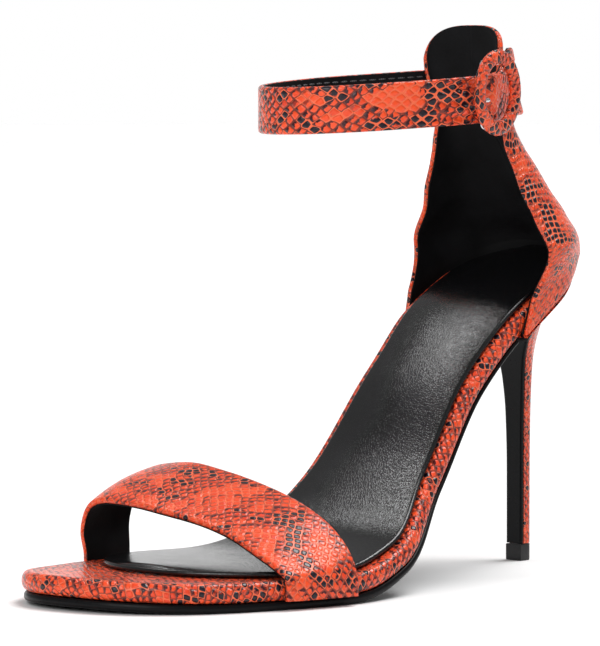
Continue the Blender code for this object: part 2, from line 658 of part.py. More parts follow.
def insole_outline():
    """Insole drawn flat: the footbed's edges moved inward, closed by a round front."""
    end = 1 - INSOLE_TOE_MARGIN / FOOT_LENGTH
    turn = np.linspace(math.radians(END_TURN), math.pi - math.radians(END_TURN), STATIONS)
    share = INSOLE_BACK + (end - INSOLE_BACK) * (1 - np.cos(turn)) / 2
    lateral, medial = half_widths(share)
    back = np.clip((INSOLE_ROUND_BACK - share) / (INSOLE_ROUND_BACK - INSOLE_BACK), 0.0, 1.0)
    front = np.clip((share - INSOLE_ROUND_START) / (end - INSOLE_ROUND_START), 0.0, 1.0)
    closing = (1 - front ** FRONT_POWER) ** (1 / FRONT_POWER) * (1 - back ** BACK_POWER) ** (1 / BACK_POWER)
    middle = (lateral - medial) / 2
    inset = INSOLE_INSET + INSOLE_FORE_INSET * smooth_step((share - INSET_START) / INSET_RUN)
    half = ((lateral + medial) / 2 - inset) * closing
    length = np.interp(share, PROFILE_SHARES, PROFILE_LENGTH)
    return np.stack([middle + half, length], -1), np.stack([middle - half, length], -1)


def insole_plate(lining):
    """Padded insole, a gap above the wrapped board."""
    outer, inner = insole_outline()
    thickness = np.full(STATIONS, INSOLE_THICKNESS)
    plate("insole", outer, inner, -GAP - INSOLE_THICKNESS, thickness, INSOLE_THICKNESS / 2, lining)


def heel_pieces(snake, black_sole, rubber):
    """Slim heel, the cover on its front and its small top piece."""
    base = TIP_HEIGHT + GAP
    rings = heel_rings(HEEL_LEVELS, base)
    inner = []
    for shrink in (2 / 3, 1 / 3):
        middle = rings[-1].mean(axis=0)
        ring = middle + (rings[-1] - middle) * shrink
        ring[:, 2] = under_last(ring[:, 1], BOARD_THICKNESS + GAP)
        inner.append(ring)
    loft("heel", rings + inner, snake)
    tip = heel_outlines(0.0, 0.0)[0]
    top_piece = [np.column_stack([tip * size, np.full(len(tip), z)])
                 for size, z in ((TIP_TAPER, 0.0), (1.0, TIP_BEVEL), (1.0, TIP_HEIGHT))]
    loft("heel_tip", top_piece, rubber)
    right = np.array([ring[BACK_POINTS - 1] for ring in rings])
    left = np.array([ring[0] for ring in rings])
    front = (right + left) / 2
    width = (right[:, 0] - left[:, 0]) / 2
    middle = front[:, 0]
    along = np.gradient(front, axis=0)[:, 1:]
    along /= np.linalg.norm(along, axis=1, keepdims=True)
    normal = np.stack([-along[:, 1], along[:, 0]], -1)
    faces = []
    for distance in (GAP, GAP + BREAST_THICKNESS):
        grid = []
        for share in np.linspace(-1, 1, 5):
            x = middle + share * (width - GAP)
            y = front[:, 1] + normal[:, 0] * distance
            z = front[:, 2] + normal[:, 1] * distance
            grid.append(np.stack([x, y, z], -1))
        faces.append(np.array(grid).transpose(1, 0, 2))
    wall("heel_breast", faces[1], faces[0], black_sole)


def buckle_frame():
    """Middle of the buckle and its three directions: forward along the strap, up and outward."""
    angle = np.array(360.0 + BUCKLE_ANGLE)
    middle = loop_point(angle, np.array(0.5), np.array(0.0))
    up = loop_point(angle, np.array(1.0), np.array(0.0)) - loop_point(angle, np.array(0.0), np.array(0.0))
    out = loop_point(angle, np.array(0.5), np.array(1.0)) - middle
    ahead = np.cross(out, up)
    ahead /= np.linalg.norm(ahead)
    up /= np.linalg.norm(up)
    return middle, ahead, up, np.cross(up, ahead)


def tube(name, path, radius, mat):
    """Round rod along a path in millimetres, as a mesh with welded caps."""
    curve = bpy.data.curves.new(name + "_path", "CURVE")
    curve.dimensions = "3D"
    curve.bevel_depth = radius * MM
    curve.bevel_resolution = 2
    curve.use_fill_caps = True
    spline = curve.splines.new("POLY")
    spline.points.add(len(path) - 1)
    for point, place in zip(spline.points, path):
        point.co = (*[c * MM for c in place], 1.0)
    rod = bpy.data.objects.new(name + "_path", curve)
    bpy.context.scene.collection.objects.link(rod)
    bpy.context.view_layer.update()
    mesh = bpy.data.meshes.new_from_object(rod.evaluated_get(bpy.context.evaluated_depsgraph_get()))
    mesh.name = name
    shape = bmesh.new()
    shape.from_mesh(mesh)
    bmesh.ops.remove_doubles(shape, verts=shape.verts[:], dist=1e-6)
    bmesh.ops.recalc_face_normals(shape, faces=shape.faces[:])
    shape.to_mesh(mesh)
    shape.free()
    bpy.data.objects.remove(rod)
    mesh.materials.clear()
    mesh.materials.append(mat)
    item = bpy.data.objects.new(name, mesh)
    bpy.data.collections[COLLECTION].objects.link(item)
    return item


def buckle(snake, metal):
    """Covered oval ring with its bar behind the strap, and the prong that comes through the strap."""
    middle, ahead, up, out = buckle_frame()
    face = strap_lift(360.0 + BUCKLE_ANGLE)
    ring_back = face + RING_CLEARANCE
    centre = middle + out * (ring_back + RING_THICKNESS / 2) + up * RING_RAISE
    turns = np.arange(RING_STEPS) * 2 * math.pi / RING_STEPS
    section = np.arange(RING_SIDES) * 2 * math.pi / RING_SIDES
    rings = []
    for turn in turns:
        wide = (RING_WIDTH - RING_BAND) / 2
        tall = (RING_HEIGHT - RING_BAND) / 2
        way = ahead * math.cos(turn) * wide + up * math.sin(turn) * tall
        radial = ahead * math.cos(turn) + up * math.sin(turn)
        loop = [centre + way + radial * (RING_BAND / 2) * math.cos(s)
                + out * (RING_THICKNESS / 2) * math.sin(s) for s in section]
        rings.append(np.array(loop))
    count = len(section)
    points = np.concatenate(rings)
    faces = []
    for k in range(len(rings)):
        for i in range(count):
            a = k * count + i
            b = k * count + (i + 1) % count
            c = ((k + 1) % len(rings)) * count + (i + 1) % count
            d = ((k + 1) % len(rings)) * count + i
            faces.append((a, b, c, d))
    ring = mesh_object("buckle_ring", points, faces, snake)
    bar_out = face - WALL - GAP - BAR_RADIUS
    high = (RING_HEIGHT - RING_BAND) / 2 + RING_RAISE - BAR_INSET
    low = (RING_BAND - RING_HEIGHT) / 2 + RING_RAISE + GAP
    anchor = ring_back + BAR_RADIUS + GAP
    bar_path = [middle + up * place + out * level
                for place, level in ((high, anchor), (high, bar_out), (low, bar_out), (low, anchor))]
    bar = tube("buckle_bar", bar_path, BAR_RADIUS, metal)
    join = ring.modifiers.new("bar", "BOOLEAN")
    join.operation = "UNION"
    join.object = bar
    bar.hide_render = True
    bar.display_type = "WIRE"
    hole = middle + ahead * PRONG_STEP
    start_at = middle + ahead * (BAR_RADIUS + GAP) + out * bar_out
    turn_at = hole + out * bar_out
    end_at = hole + out * (face + PRONG_RADIUS * 2)
    tube("buckle_prong", [start_at, turn_at, end_at], PRONG_RADIUS, metal)
    return hole + out * (face - 1.5 * WALL), hole + out * (face + 0.5 * WALL)


def straps(snake):
    """Toe strap, counter, ankle strap and the short strap that holds the buckle."""
    wall("toe_strap", toe_strap_surface(0.0), toe_strap_surface(WALL), snake)
    wall("heel_counter", counter_surface(0.0), counter_surface(WALL), snake)
    seam = 2 * math.degrees(GAP / ANKLE_WIDTH)
    strap = strap_wall("ankle_strap", 90 + seam, 360 + TAIL_ANGLE, 73, strap_lift, snake)
    bar_gap = math.degrees((BAR_RADIUS + GAP) / ANKLE_FORE) + BAR_CLEARANCE
    strap_wall("buckle_strap", BUCKLE_ANGLE + bar_gap, 90 - seam, 19, lambda angle: 0.0 * angle, snake)
    return strap


def cut_hole(strap, start_at, end_at):
    """Hole in the strap that the prong comes through."""
    cutter = tube("prong_hole", [start_at, end_at], PRONG_RADIUS + GAP, strap.data.materials[0])
    cutter.hide_render = True
    cutter.display_type = "WIRE"
    cut = strap.modifiers.new("hole", "BOOLEAN")
    cut.operation = "DIFFERENCE"
    cut.object = cutter


def centre_on_floor():
    """Moves every mesh so that the middle of the shoe's box stands on the origin."""
    shapes = [item for item in bpy.data.collections[COLLECTION].objects if not item.hide_render]
    corners = np.array([vertex.co for item in shapes for vertex in item.data.vertices])
    low = corners.min(axis=0)
    high = corners.max(axis=0)
    shift = (-(low[0] + high[0]) / 2, -(low[1] + high[1]) / 2, -low[2])
    for item in bpy.data.collections[COLLECTION].objects:
        for vertex in item.data.vertices:
            vertex.co = [vertex.co[k] + shift[k] for k in range(3)]


def main():
    """Builds the sandal."""
    start()
    snake = material("Embossed leather", "E8552F", 0.38)
    lining = material("Black insole leather", "141315", 0.3)
    black_sole = material("Black outsole", "1B1A1C", 0.4)
    rubber = material("Black rubber", "232224", 0.6)
    metal = material("Silver metal", "C9C9CC", 0.25, 1.0)
    footbed(snake, black_sole, lining)
    heel_pieces(snake, black_sole, rubber)
    strap = straps(snake)
    hole_start, hole_end = buckle(snake, metal)
    cut_hole(strap, hole_start, hole_end)
    centre_on_floor()


main()
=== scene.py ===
"""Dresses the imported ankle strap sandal: embossed snake print leather, black linings and a studio.

Shapes are worked out in millimetres in the last's own frame, where the heel tip stands at X zero
and Y zero, and become metres in the shared frame when a mesh is made.
"""
import math
from collections import namedtuple

import bpy
import numpy as np
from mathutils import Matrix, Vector


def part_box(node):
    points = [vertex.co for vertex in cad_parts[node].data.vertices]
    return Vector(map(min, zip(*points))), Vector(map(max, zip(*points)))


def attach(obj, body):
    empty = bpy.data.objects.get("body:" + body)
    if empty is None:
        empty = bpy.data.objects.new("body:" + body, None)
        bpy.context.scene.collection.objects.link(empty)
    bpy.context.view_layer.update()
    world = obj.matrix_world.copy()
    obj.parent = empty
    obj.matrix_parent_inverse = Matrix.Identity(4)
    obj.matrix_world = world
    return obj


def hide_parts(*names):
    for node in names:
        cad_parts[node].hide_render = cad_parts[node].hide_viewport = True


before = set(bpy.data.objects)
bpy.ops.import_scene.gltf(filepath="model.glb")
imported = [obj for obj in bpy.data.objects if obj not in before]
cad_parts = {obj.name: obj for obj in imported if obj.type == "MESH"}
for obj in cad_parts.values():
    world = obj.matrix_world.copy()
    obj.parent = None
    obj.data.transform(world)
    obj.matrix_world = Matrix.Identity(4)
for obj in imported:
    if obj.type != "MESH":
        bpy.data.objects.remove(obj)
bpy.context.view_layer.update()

bl_info = {
    "name": "Ankle strap sandal",
    "version": (1, 0, 0),
    "blender": (4, 5, 0),
    "location": "3D View > Sidebar > Sandal",
    "description": "Builds the skins, linings, buckle and stage of a high heeled ankle strap sandal",
    "category": "Object",
}

MM = 0.001
TIP_LOW, TIP_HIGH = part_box("heel_tip")
SHIFT = np.array([(TIP_LOW[0] + TIP_HIGH[0]) / 2, (TIP_LOW[1] + TIP_HIGH[1]) / 2, 0.0]) / MM

# Footbed, measured on the last
FOOT_LENGTH = 209.0
BALL_WIDTH = 83.0
HEEL_RISE = 90.3
TOE_SPRING = 1.5
SPRING_START = 0.83
BALL_END = 0.72
BOARD_THICKNESS = 6.0
BOARD_ROUNDING = 2.0
SOLE_THICKNESS = 2.7
SOLE_INSET = 0.9
SOLE_ROUNDING = 0.8
SOLE_THINNING = 0.5
SOLE_THIN_END = 0.36
SOLE_THIN_RUN = 0.24
INSOLE_THICKNESS = 1.8
INSOLE_INSET = 2.4
INSOLE_FORE_INSET = 2.4
INSOLE_TOE_MARGIN = 30.0
INSOLE_BACK = 0.018
INSOLE_ROUND_BACK = 0.10
INSOLE_ROUND_START = 0.70
INSET_START = 0.46
INSET_RUN = 0.14
FRONT_POWER = 2.2
BACK_POWER = 2.6
GAP = 0.3

# Uppers
WALL = 2.0
COUNTER_HEIGHT = 71.6
HEEL_WIDTH = 60.4
COUNTER_LEAN = 36.0
TAB_ROUNDING = 10.5
TAB_INNER_POWER = 2.8
TAB_OUTER_POWER = 3.0
COUNTER_FOOT = 5.6
COUNTER_TUCK = 1.0
COUNTER_OVER = 1.5
COUNTER_BLEND = 14.0
COUNTER_SPREAD = 1.3
TOE_STRAP_FRONT = 163.0
TOE_STRAP_BACK = 137.0
TOE_STRAP_FRONT_HEIGHT = 25.5
TOE_STRAP_BACK_HEIGHT = 35.8
TOE_STRAP_BULGE = 1.2
TOE_STRAP_NARROW = 0.32
TOE_STRAP_NARROW_REACH = 0.5
STRAP_WIDTH = 14.8
STRAP_HEIGHT = 148.4
ANKLE_FORE = 46.6
ANKLE_AFT = 46.8
ANKLE_WIDTH = 70.0
ANKLE_FRONT = 118.9
STRAP_LEAN = 5.6
LEAN_FULL = 38.0
TILT_SIDE = 0.045
TILT_BACK = 0.03

# Heel
TIP_WIDTH = 6.5
TIP_DEPTH = 6.0
TIP_HEIGHT = 5.2
TIP_BACK = 9.0
SEAT_FRONT = 39.5
BREAST_THICKNESS = 1.0
TIP_TAPER = 0.93
TIP_BEVEL = 0.6
SEAT_TURN = 118.0

# Buckle
RING_HEIGHT = 26.8
RING_WIDTH = 24.6
RING_BAND = 4.8
RING_THICKNESS = 3.0
RING_RAISE = 1.9
BUCKLE_ANGLE = 12.5
BAR_RADIUS = 0.9
RING_CLEARANCE = 0.7
BAR_INSET = 1.7
BAR_CLEARANCE = 0.8
PRONG_RADIUS = 0.8
PRONG_STEP = 5.2
PRONG_LEVEL = 2.3
PRONG_REACH = 2.4
LAP_START = 335.0
LAP_LENGTH = 20.0
TAIL_ANGLE = 50.0
TAIL_OUT = 0.8
TAIL_LIFT = 7.2
TAIL_START = 385.0
TAIL_NARROW = 0.68

OUTLINE_POINTS = 90
SEAT_REACH = 75.0
SEAT_CENTRE = 0.125
SEAT_TUCK = 0.45
SEAT_TUCK_END = 0.2


def table(fields, *rows):
    """Table whose rows have named fields."""
    Row = namedtuple("Row", fields)
    return tuple(Row(*row) for row in rows)


FOOT_ROWS = table(
    "along rise lateral medial",
    (0.00, 1.000, 0.000, 0.000),
    (0.05, 0.957, 0.234, 0.242),
    (0.11, 0.896, 0.292, 0.298),
    (0.20, 0.787, 0.310, 0.283),
    (0.30, 0.597, 0.324, 0.243),
    (0.42, 0.290, 0.393, 0.239),
    (0.54, 0.066, 0.525, 0.325),
    (0.64, 0.004, 0.558, 0.432),
    (0.72, 0.000, 0.528, 0.490),
    (0.80, 0.000, 0.476, 0.512),
    (0.88, 0.000, 0.392, 0.486),
    (0.94, 0.000, 0.270, 0.430),
    (0.98, 0.000, 0.112, 0.328),
    (1.00, 0.000, -0.165, 0.165),
)

COUNTER_ROWS = table(
    "up width depth lean edge",
    (-0.34, 0.500, 0.430, 0.000, 121.0),
    (-0.14, 0.500, 0.430, 0.000, 106.0),
    (0.02, 0.496, 0.430, 0.040, 99.0),
    (0.17, 0.417, 0.364, 0.150, 105.0),
    (0.27, 0.368, 0.315, 0.305, 106.0),
    (0.38, 0.313, 0.273, 0.440, 103.0),
    (0.48, 0.268, 0.240, 0.580, 97.0),
    (0.56, 0.254, 0.190, 0.695, 92.0),
    (0.68, 0.258, 0.140, 0.825, 88.0),
    (0.81, 0.272, 0.110, 0.945, 86.0),
    (0.92, 0.280, 0.100, 0.965, 84.0),
    (1.00, 0.280, 0.100, 0.965, 84.0),
)

TOE_STRAP_ROWS = table(
    "around across_front up_front across_back up_back",
    (0.00, 0.000, 0.000, 0.000, 0.000),
    (0.10, 0.000, 0.270, -0.030, 0.270),
    (0.20, -0.016, 0.560, -0.055, 0.550),
    (0.28, 0.002, 0.800, -0.050, 0.780),
    (0.34, 0.045, 0.945, 0.000, 0.925),
    (0.40, 0.120, 0.995, 0.075, 0.980),
    (0.47, 0.230, 0.985, 0.190, 1.005),
    (0.58, 0.400, 0.925, 0.370, 0.955),
    (0.68, 0.560, 0.855, 0.550, 0.870),
    (0.77, 0.700, 0.745, 0.715, 0.755),
    (0.86, 0.835, 0.560, 0.865, 0.580),
    (0.92, 0.945, 0.390, 0.955, 0.380),
    (0.955, 0.995, 0.270, 0.990, 0.220),
    (0.975, 1.000, 0.140, 1.000, 0.110),
    (1.00, 1.000, 0.000, 1.000, 0.000),
)

LOOP_ROWS = table(
    "turn wide long",
    (0.0, 1.000, 0.000),
    (12.0, 0.985, 0.120),
    (26.0, 0.920, 0.270),
    (40.0, 0.790, 0.450),
    (55.0, 0.594, 0.697),
    (66.0, 0.474, 0.872),
    (76.0, 0.275, 0.965),
    (90.0, 0.000, 1.000),
)

HEEL_ROWS = table(
    "up front back side",
    (0.00, 0.000, 0.000, 0.000),
    (0.30, 0.002, 0.005, 0.002),
    (0.50, 0.012, 0.030, 0.018),
    (0.62, 0.033, 0.090, 0.048),
    (0.72, 0.070, 0.300, 0.100),
    (0.80, 0.130, 0.590, 0.210),
    (0.87, 0.240, 0.830, 0.350),
    (0.93, 0.440, 0.960, 0.590),
    (0.97, 0.680, 0.990, 0.810),
    (1.00, 1.000, 1.000, 1.000),
)

FOOT_BACK = TIP_BACK + TIP_DEPTH / 2
BALL_TOP = SOLE_THICKNESS + GAP + BOARD_THICKNESS
SEAT_TOP = BALL_TOP + HEEL_RISE
STRAP_FOOT = SOLE_THICKNESS + GAP
COUNTER_OFFSET = GAP + 1.2 * WALL
PROFILE_POINTS = 401
ROUNDING_POINTS = 15
PROFILE_SHARES = np.linspace(0.0, 1.0, PROFILE_POINTS)
# the round ends of the footbed's outlines start this far from their points
END_TURN = math.radians(1.6)
# millimetres of leather to one unit of the skin's UV map
SKIN_UNIT = 100.0

# Details that only the skins have
# how far the leather's back and the lining's face lie inside a wall's outer face
SKIN_BACK = WALL - 0.15
LINING_FRONT = WALL - 0.4
LINING_END = 0.4
# the seam pressed into the counter's lining: its depth, half its width, and half the lining's width
LINING_SEAM = 0.18
LINING_SEAM_REACH = 0.8
LINING_HALF = 30.0
# power of the pad's section, and share of its length over which the crown fades at each end
CROWN_POWER = 2.2
CROWN_ENDS = 0.06
# behind the ball the pad leaves more of the covered rim bare on the inner side
INNER_RIM = 2.2
INNER_RIM_END = 0.72
INNER_RIM_RUN = 0.12
# the cover of the heel's front is glued on, so no light passes behind it
BREAST_CONTACT = 0.02
BREAST_MARGIN = 0.3
# half the opening between the ankle loop's two straps, in degrees, and the stitches' first place
SEAM = 2 * math.degrees(GAP / ANKLE_WIDTH)
STITCH_START = 2.0
STITCH_ROWS = (0.14, 0.86)
STITCH_LIFT = 0.02
# how near a bead of thread comes to a point at its ends, and its height as a share of its width
BEAD_END = 0.97
BEAD_FLATNESS = 0.7
# rise of the long strap inside the buckle: half its length in degrees, then its middle and half
# its width as shares of the strap's
BULGE_TURN = 10.0
BULGE_MIDDLE = 0.55
BULGE_HALF = 0.62
# gathers before the buckle: how many lie side by side, their phase in radians and its change per
# degree, the share by which they sink, and where they grow and fade, in degrees before the buckle
PLEAT_COUNT = 3.2
PLEAT_PHASE = 0.9
PLEAT_TWIST = 0.05
PLEAT_SINK = 0.6
PLEAT_START = 36.0
PLEAT_GROWTH = 16.0
PLEAT_END = 9.0
PLEAT_FADE = 6.0
# pleats round the covered ring: height, count, and how far and how often they wander
RING_WAVES = table("high count wander slow", (0.6, 31, 1.3, 3), (0.4, 47, 2.0, 2))
# powers that keep the pleats off the ring's faces and make its section a little fuller than round
RING_FLANK = 1.5
RING_FULLNESS = 0.9
# how far from its corners the bar and the prong start to bend
BAR_BEND = 0.9
PRONG_BEND = 0.7
# the heel's levels crowd toward its seat, which lies inside the counter's face by a share of its wall
HEEL_LEVEL_POWER = 0.8
HEEL_UNDER_COUNTER = 0.2
# sizes of the rings that close the heel's seat, as shares of its outline
SEAT_RINGS = (0.66, 0.33)
# the top piece's outline as a share of the heel's, from the floor up
TIP_STEPS = table("size up", (TIP_TAPER, 0.0), (TIP_TAPER + 0.05, 0.12), (1.0, TIP_BEVEL),
                  (1.0, TIP_HEIGHT - 0.2), (0.97, TIP_HEIGHT))

# Points of the grids, along and across or round
BOARD_STATIONS = 240
SOLE_STATIONS = 200
PAD_STATIONS = 220
TOE_STRAP_GRID = (180, 48)
COUNTER_GRID = (130, 181)
LONG_GRID = (460, 40)
SHORT_GRID = (110, 40)
STITCH_GRID = (500, 60)
RING_GRID = (240, 40)
HEEL_LEVELS = 150
HEEL_POINTS = (61, 15)
TIP_POINTS = (41, 9)
BREAST_COLUMNS = 21
ROD_SIDES = 16
ROD_DOME = 6
BEND_POINTS = 7
# sides of a bead of thread, and rings along it
BEAD = 8


def column(rows, name):
    """One named column of a table as an array."""
    return np.array([getattr(row, name) for row in rows], float)


def smooth_curve(knots, values, places):
    """Monotone cubic curve through the knots: each slope is the harmonic mean of its neighbours."""
    knots = np.asarray(knots, float)
    values = np.asarray(values, float)
    steps = np.diff(knots)
    rises = np.diff(values) / steps
    slopes = np.zeros(len(knots))
    slopes[0] = rises[0]
    slopes[-1] = rises[-1]
    same = rises[:-1] * rises[1:] > 0
    before = 2 * steps[1:] + steps[:-1]
    after = steps[1:] + 2 * steps[:-1]
    with np.errstate(divide="ignore", invalid="ignore"):
        mean = (before + after) / (before / rises[:-1] + after / rises[1:])
    slopes[1:-1] = np.where(same, mean, 0.0)
    places = np.asarray(places, float)
    k = np.clip(np.searchsorted(knots, places) - 1, 0, len(steps) - 1)
    t = np.clip((places - knots[k]) / steps[k], 0.0, 1.0)
    return ((1 + 2 * t) * (1 - t) ** 2 * values[k] + t * (1 - t) ** 2 * steps[k] * slopes[k]
            + t * t * (3 - 2 * t) * values[k + 1] + t * t * (t - 1) * steps[k] * slopes[k + 1])


def smooth_step(value):
    """Zero below zero, one above one, with a smooth rise between: 3 t squared less 2 t cubed."""
    t = np.clip(value, 0.0, 1.0)
    return t * t * (3 - 2 * t)


def hump(value):
    """One at zero, falling as a squared cosine to zero at one and minus one."""
    return np.cos(np.clip(value, -1.0, 1.0) * math.pi / 2) ** 2


def unit(vectors):
    """Vectors divided by their own lengths."""
    return vectors / np.linalg.norm(vectors, axis=-1, keepdims=True)


def heading(points, axis=0):
    """Unit directions of lines of points, which run along one axis of the array."""
    return unit(np.gradient(points, axis=axis))


def run_of(path):
    """Length from the first point of a path to each of its points."""
    return np.concatenate([[0.0], np.cumsum(np.linalg.norm(np.diff(path, axis=0), axis=1))])


def polar_share(share):
    """Turns a share along the foot into an angle, so that round ends are drawn evenly."""
    return np.arccos(1 - 2 * np.clip(share, 0.0, 1.0))


def last_profile():
    """Side view of the footbed's top: Y, Z, length along the curve and the downward normal."""
    rise = smooth_curve(column(FOOT_ROWS, "along"), column(FOOT_ROWS, "rise"), PROFILE_SHARES)
    margin = ROUNDING_POINTS
    before = 2 * rise[0] - rise[margin:0:-1]
    after = 2 * rise[-1] - rise[-2:-margin - 2:-1]
    weights = np.hanning(2 * margin + 3)[1:-1]
    rounded = np.convolve(np.concatenate([before, rise, after]), weights / weights.sum(), "valid")
    spring = TOE_SPRING * np.clip((PROFILE_SHARES - SPRING_START) / (1 - SPRING_START), 0.0, 1.0) ** 2
    rounded = np.where(PROFILE_SHARES > BALL_END, 0.0, rounded)
    y = FOOT_BACK - PROFILE_SHARES * FOOT_LENGTH
    z = BALL_TOP + rounded * HEEL_RISE + spring
    length = run_of(np.stack([y, z], -1))
    tuck = smooth_step(PROFILE_SHARES / SEAT_TUCK_END)
    down_y = -np.gradient(z, length) * tuck - SEAT_TUCK * (1 - tuck)
    return y, z, length, down_y, -np.gradient(y, length)


PROFILE_Y, PROFILE_Z, PROFILE_LENGTH, DOWN_Y, DOWN_Z = last_profile()


def on_last(flat, drop):
    """Points of a flat drawing (x, length) laid on the last, at a drop below the footbed's top."""
    length = flat[..., 1]
    y = np.interp(length, PROFILE_LENGTH, PROFILE_Y) + drop * np.interp(length, PROFILE_LENGTH, DOWN_Y)
    z = np.interp(length, PROFILE_LENGTH, PROFILE_Z) - drop * np.interp(length, PROFILE_LENGTH, DOWN_Z)
    return np.stack([flat[..., 0], y, z], axis=-1)


def under_last(y, drop):
    """Height of the surface that lies a drop below the footbed's top, at a Y."""
    below_y = PROFILE_Y + drop * DOWN_Y
    below_z = PROFILE_Z - drop * DOWN_Z
    order = np.argsort(below_y)
    return np.interp(y, below_y[order], below_z[order])


def share_under(y, drop):
    """Share of the footbed's length whose point at a drop below the top has a Y."""
    below_y = PROFILE_Y + drop * DOWN_Y
    order = np.argsort(below_y)
    return float(np.interp(y, below_y[order], PROFILE_SHARES[order]))


def half_widths(share):
    """Outer and inner half width of the footbed at a share of its length."""
    knots = polar_share(column(FOOT_ROWS, "along"))
    places = polar_share(share)
    return [smooth_curve(knots, column(FOOT_ROWS, side), places) * BALL_WIDTH
            for side in ("lateral", "medial")]


def even_shares(start, end, stations):
    """Shares of the footbed's length between two places, closer together at its round ends."""
    first = max(float(polar_share(start)), END_TURN)
    last = min(float(polar_share(end)), math.pi - END_TURN)
    return (1 - np.cos(np.linspace(first, last, stations))) / 2


def flat_edges(share, inset=0.0):
    """Outer and inner edge of the footbed drawn flat at shares of its length, moved inward."""
    lateral, medial = half_widths(share)
    length = np.interp(share, PROFILE_SHARES, PROFILE_LENGTH)
    edges = np.stack([lateral, length], -1), np.stack([-medial, length], -1)
    return moved_inward(*edges, inset)


def moved_inward(outer, inner, inset):
    """Both edges of a flat outline moved along their own normals by an inset."""
    moved = []
    for edge, sign in ((outer, 1.0), (inner, -1.0)):
        along = heading(edge)
        normal = np.stack([along[:, 1], -along[:, 0]], -1) * sign
        moved.append(edge - normal * inset)
    return moved


def seat_outline(angle, offset, drop=0.0, tuck=0.0):
    """Outline of the footbed's back seen from above: the point at a polar angle, moved outward.

    The angle is zero at the back and grows toward the outer side. The outline is taken at a drop
    below the footbed's top, where the slope of the last has moved it backward, less a tuck inward.
    """
    share = (1 - np.cos(np.radians(np.linspace(1.0, SEAT_REACH, OUTLINE_POINTS)))) / 2
    lateral, medial = half_widths(share)
    y = np.interp(share, PROFILE_SHARES, PROFILE_Y)
    edge = np.concatenate([np.stack([-medial, y], -1)[::-1], np.stack([lateral, y], -1)])
    along = heading(edge)
    edge = edge + np.stack([-along[:, 1], along[:, 0]], -1) * offset
    centre = FOOT_BACK - SEAT_CENTRE * FOOT_LENGTH
    polar = np.arctan2(edge[:, 0], edge[:, 1] - centre)
    radius = np.hypot(edge[:, 0], edge[:, 1] - centre)
    reach = np.interp(angle, polar, radius) - tuck
    y = centre + reach * np.cos(angle)
    slope = np.interp(-y, -PROFILE_Y, DOWN_Y)
    return reach * np.sin(angle), y + drop * slope


def grid_normals(surface):
    """Unit normals of a grid, from the cross product of its two directions."""
    return unit(np.cross(np.gradient(surface, axis=0), np.gradient(surface, axis=1)))


def counter_surface(rows, columns, offset):
    """Grid of the counter's outer wall moved inward by an offset: rows go up, columns go round.

    Low down the wall follows the edge of the footbed, and a blend above it leads to ellipses
    that lean forward and narrow to the tab. Its lower edge tucks in round the footbed's edge.
    """
    ups = column(COUNTER_ROWS, "up")
    around = np.linspace(-1.0, 1.0, columns)
    up = np.full(columns, ups[0])
    # the lowest level and the angle of the edge depend on each other, and settle in four rounds
    for _ in range(4):
        angle = around * np.radians(smooth_curve(ups, column(COUNTER_ROWS, "edge"), up))
        seat_y = seat_outline(angle, COUNTER_OFFSET, COUNTER_FOOT, COUNTER_TUCK)[1]
        lowest = under_last(seat_y, COUNTER_FOOT)
        up = (lowest - SEAT_TOP) / COUNTER_HEIGHT
    tab_half = COUNTER_ROWS[-1].width * HEEL_WIDTH
    power = np.where(around < 0, TAB_INNER_POWER, TAB_OUTER_POWER)
    highest = SEAT_TOP + COUNTER_HEIGHT + TILT_SIDE * tab_half * around
    highest -= TAB_ROUNDING * np.abs(around) ** power
    step = np.linspace(0.0, 1.0, rows)[:, None] ** COUNTER_SPREAD
    level = lowest + (highest - lowest) * step
    up = (level - SEAT_TOP) / COUNTER_HEIGHT
    angle = around * np.radians(smooth_curve(ups, column(COUNTER_ROWS, "edge"), up))
    width, depth, lean = (smooth_curve(ups, column(COUNTER_ROWS, name), up) * size for name, size in (
        ("width", HEEL_WIDTH), ("depth", HEEL_WIDTH), ("lean", COUNTER_LEAN)))
    free_x = width * np.sin(angle)
    free_y = FOOT_BACK + WALL * 0.5 - lean - depth + depth * np.cos(angle)
    seat_y = seat_outline(angle, COUNTER_OFFSET)[1]
    below = np.clip(under_last(seat_y, 0.0) - level, -COUNTER_OVER, COUNTER_FOOT)
    tuck = COUNTER_TUCK * np.clip(below / COUNTER_FOOT, 0.0, 1.0) ** 5
    seat_x, seat_y = seat_outline(angle, COUNTER_OFFSET, below, tuck)
    share = smooth_step((level - under_last(seat_y, 0.0)) / COUNTER_BLEND)
    surface = np.stack([seat_x + (free_x - seat_x) * share, seat_y + (free_y - seat_y) * share, level], -1)
    surface = surface - grid_normals(surface) * offset
    surface[0, :, 2] = under_last(surface[0, :, 1], COUNTER_FOOT)
    surface[-1, :, 2] = highest
    return surface


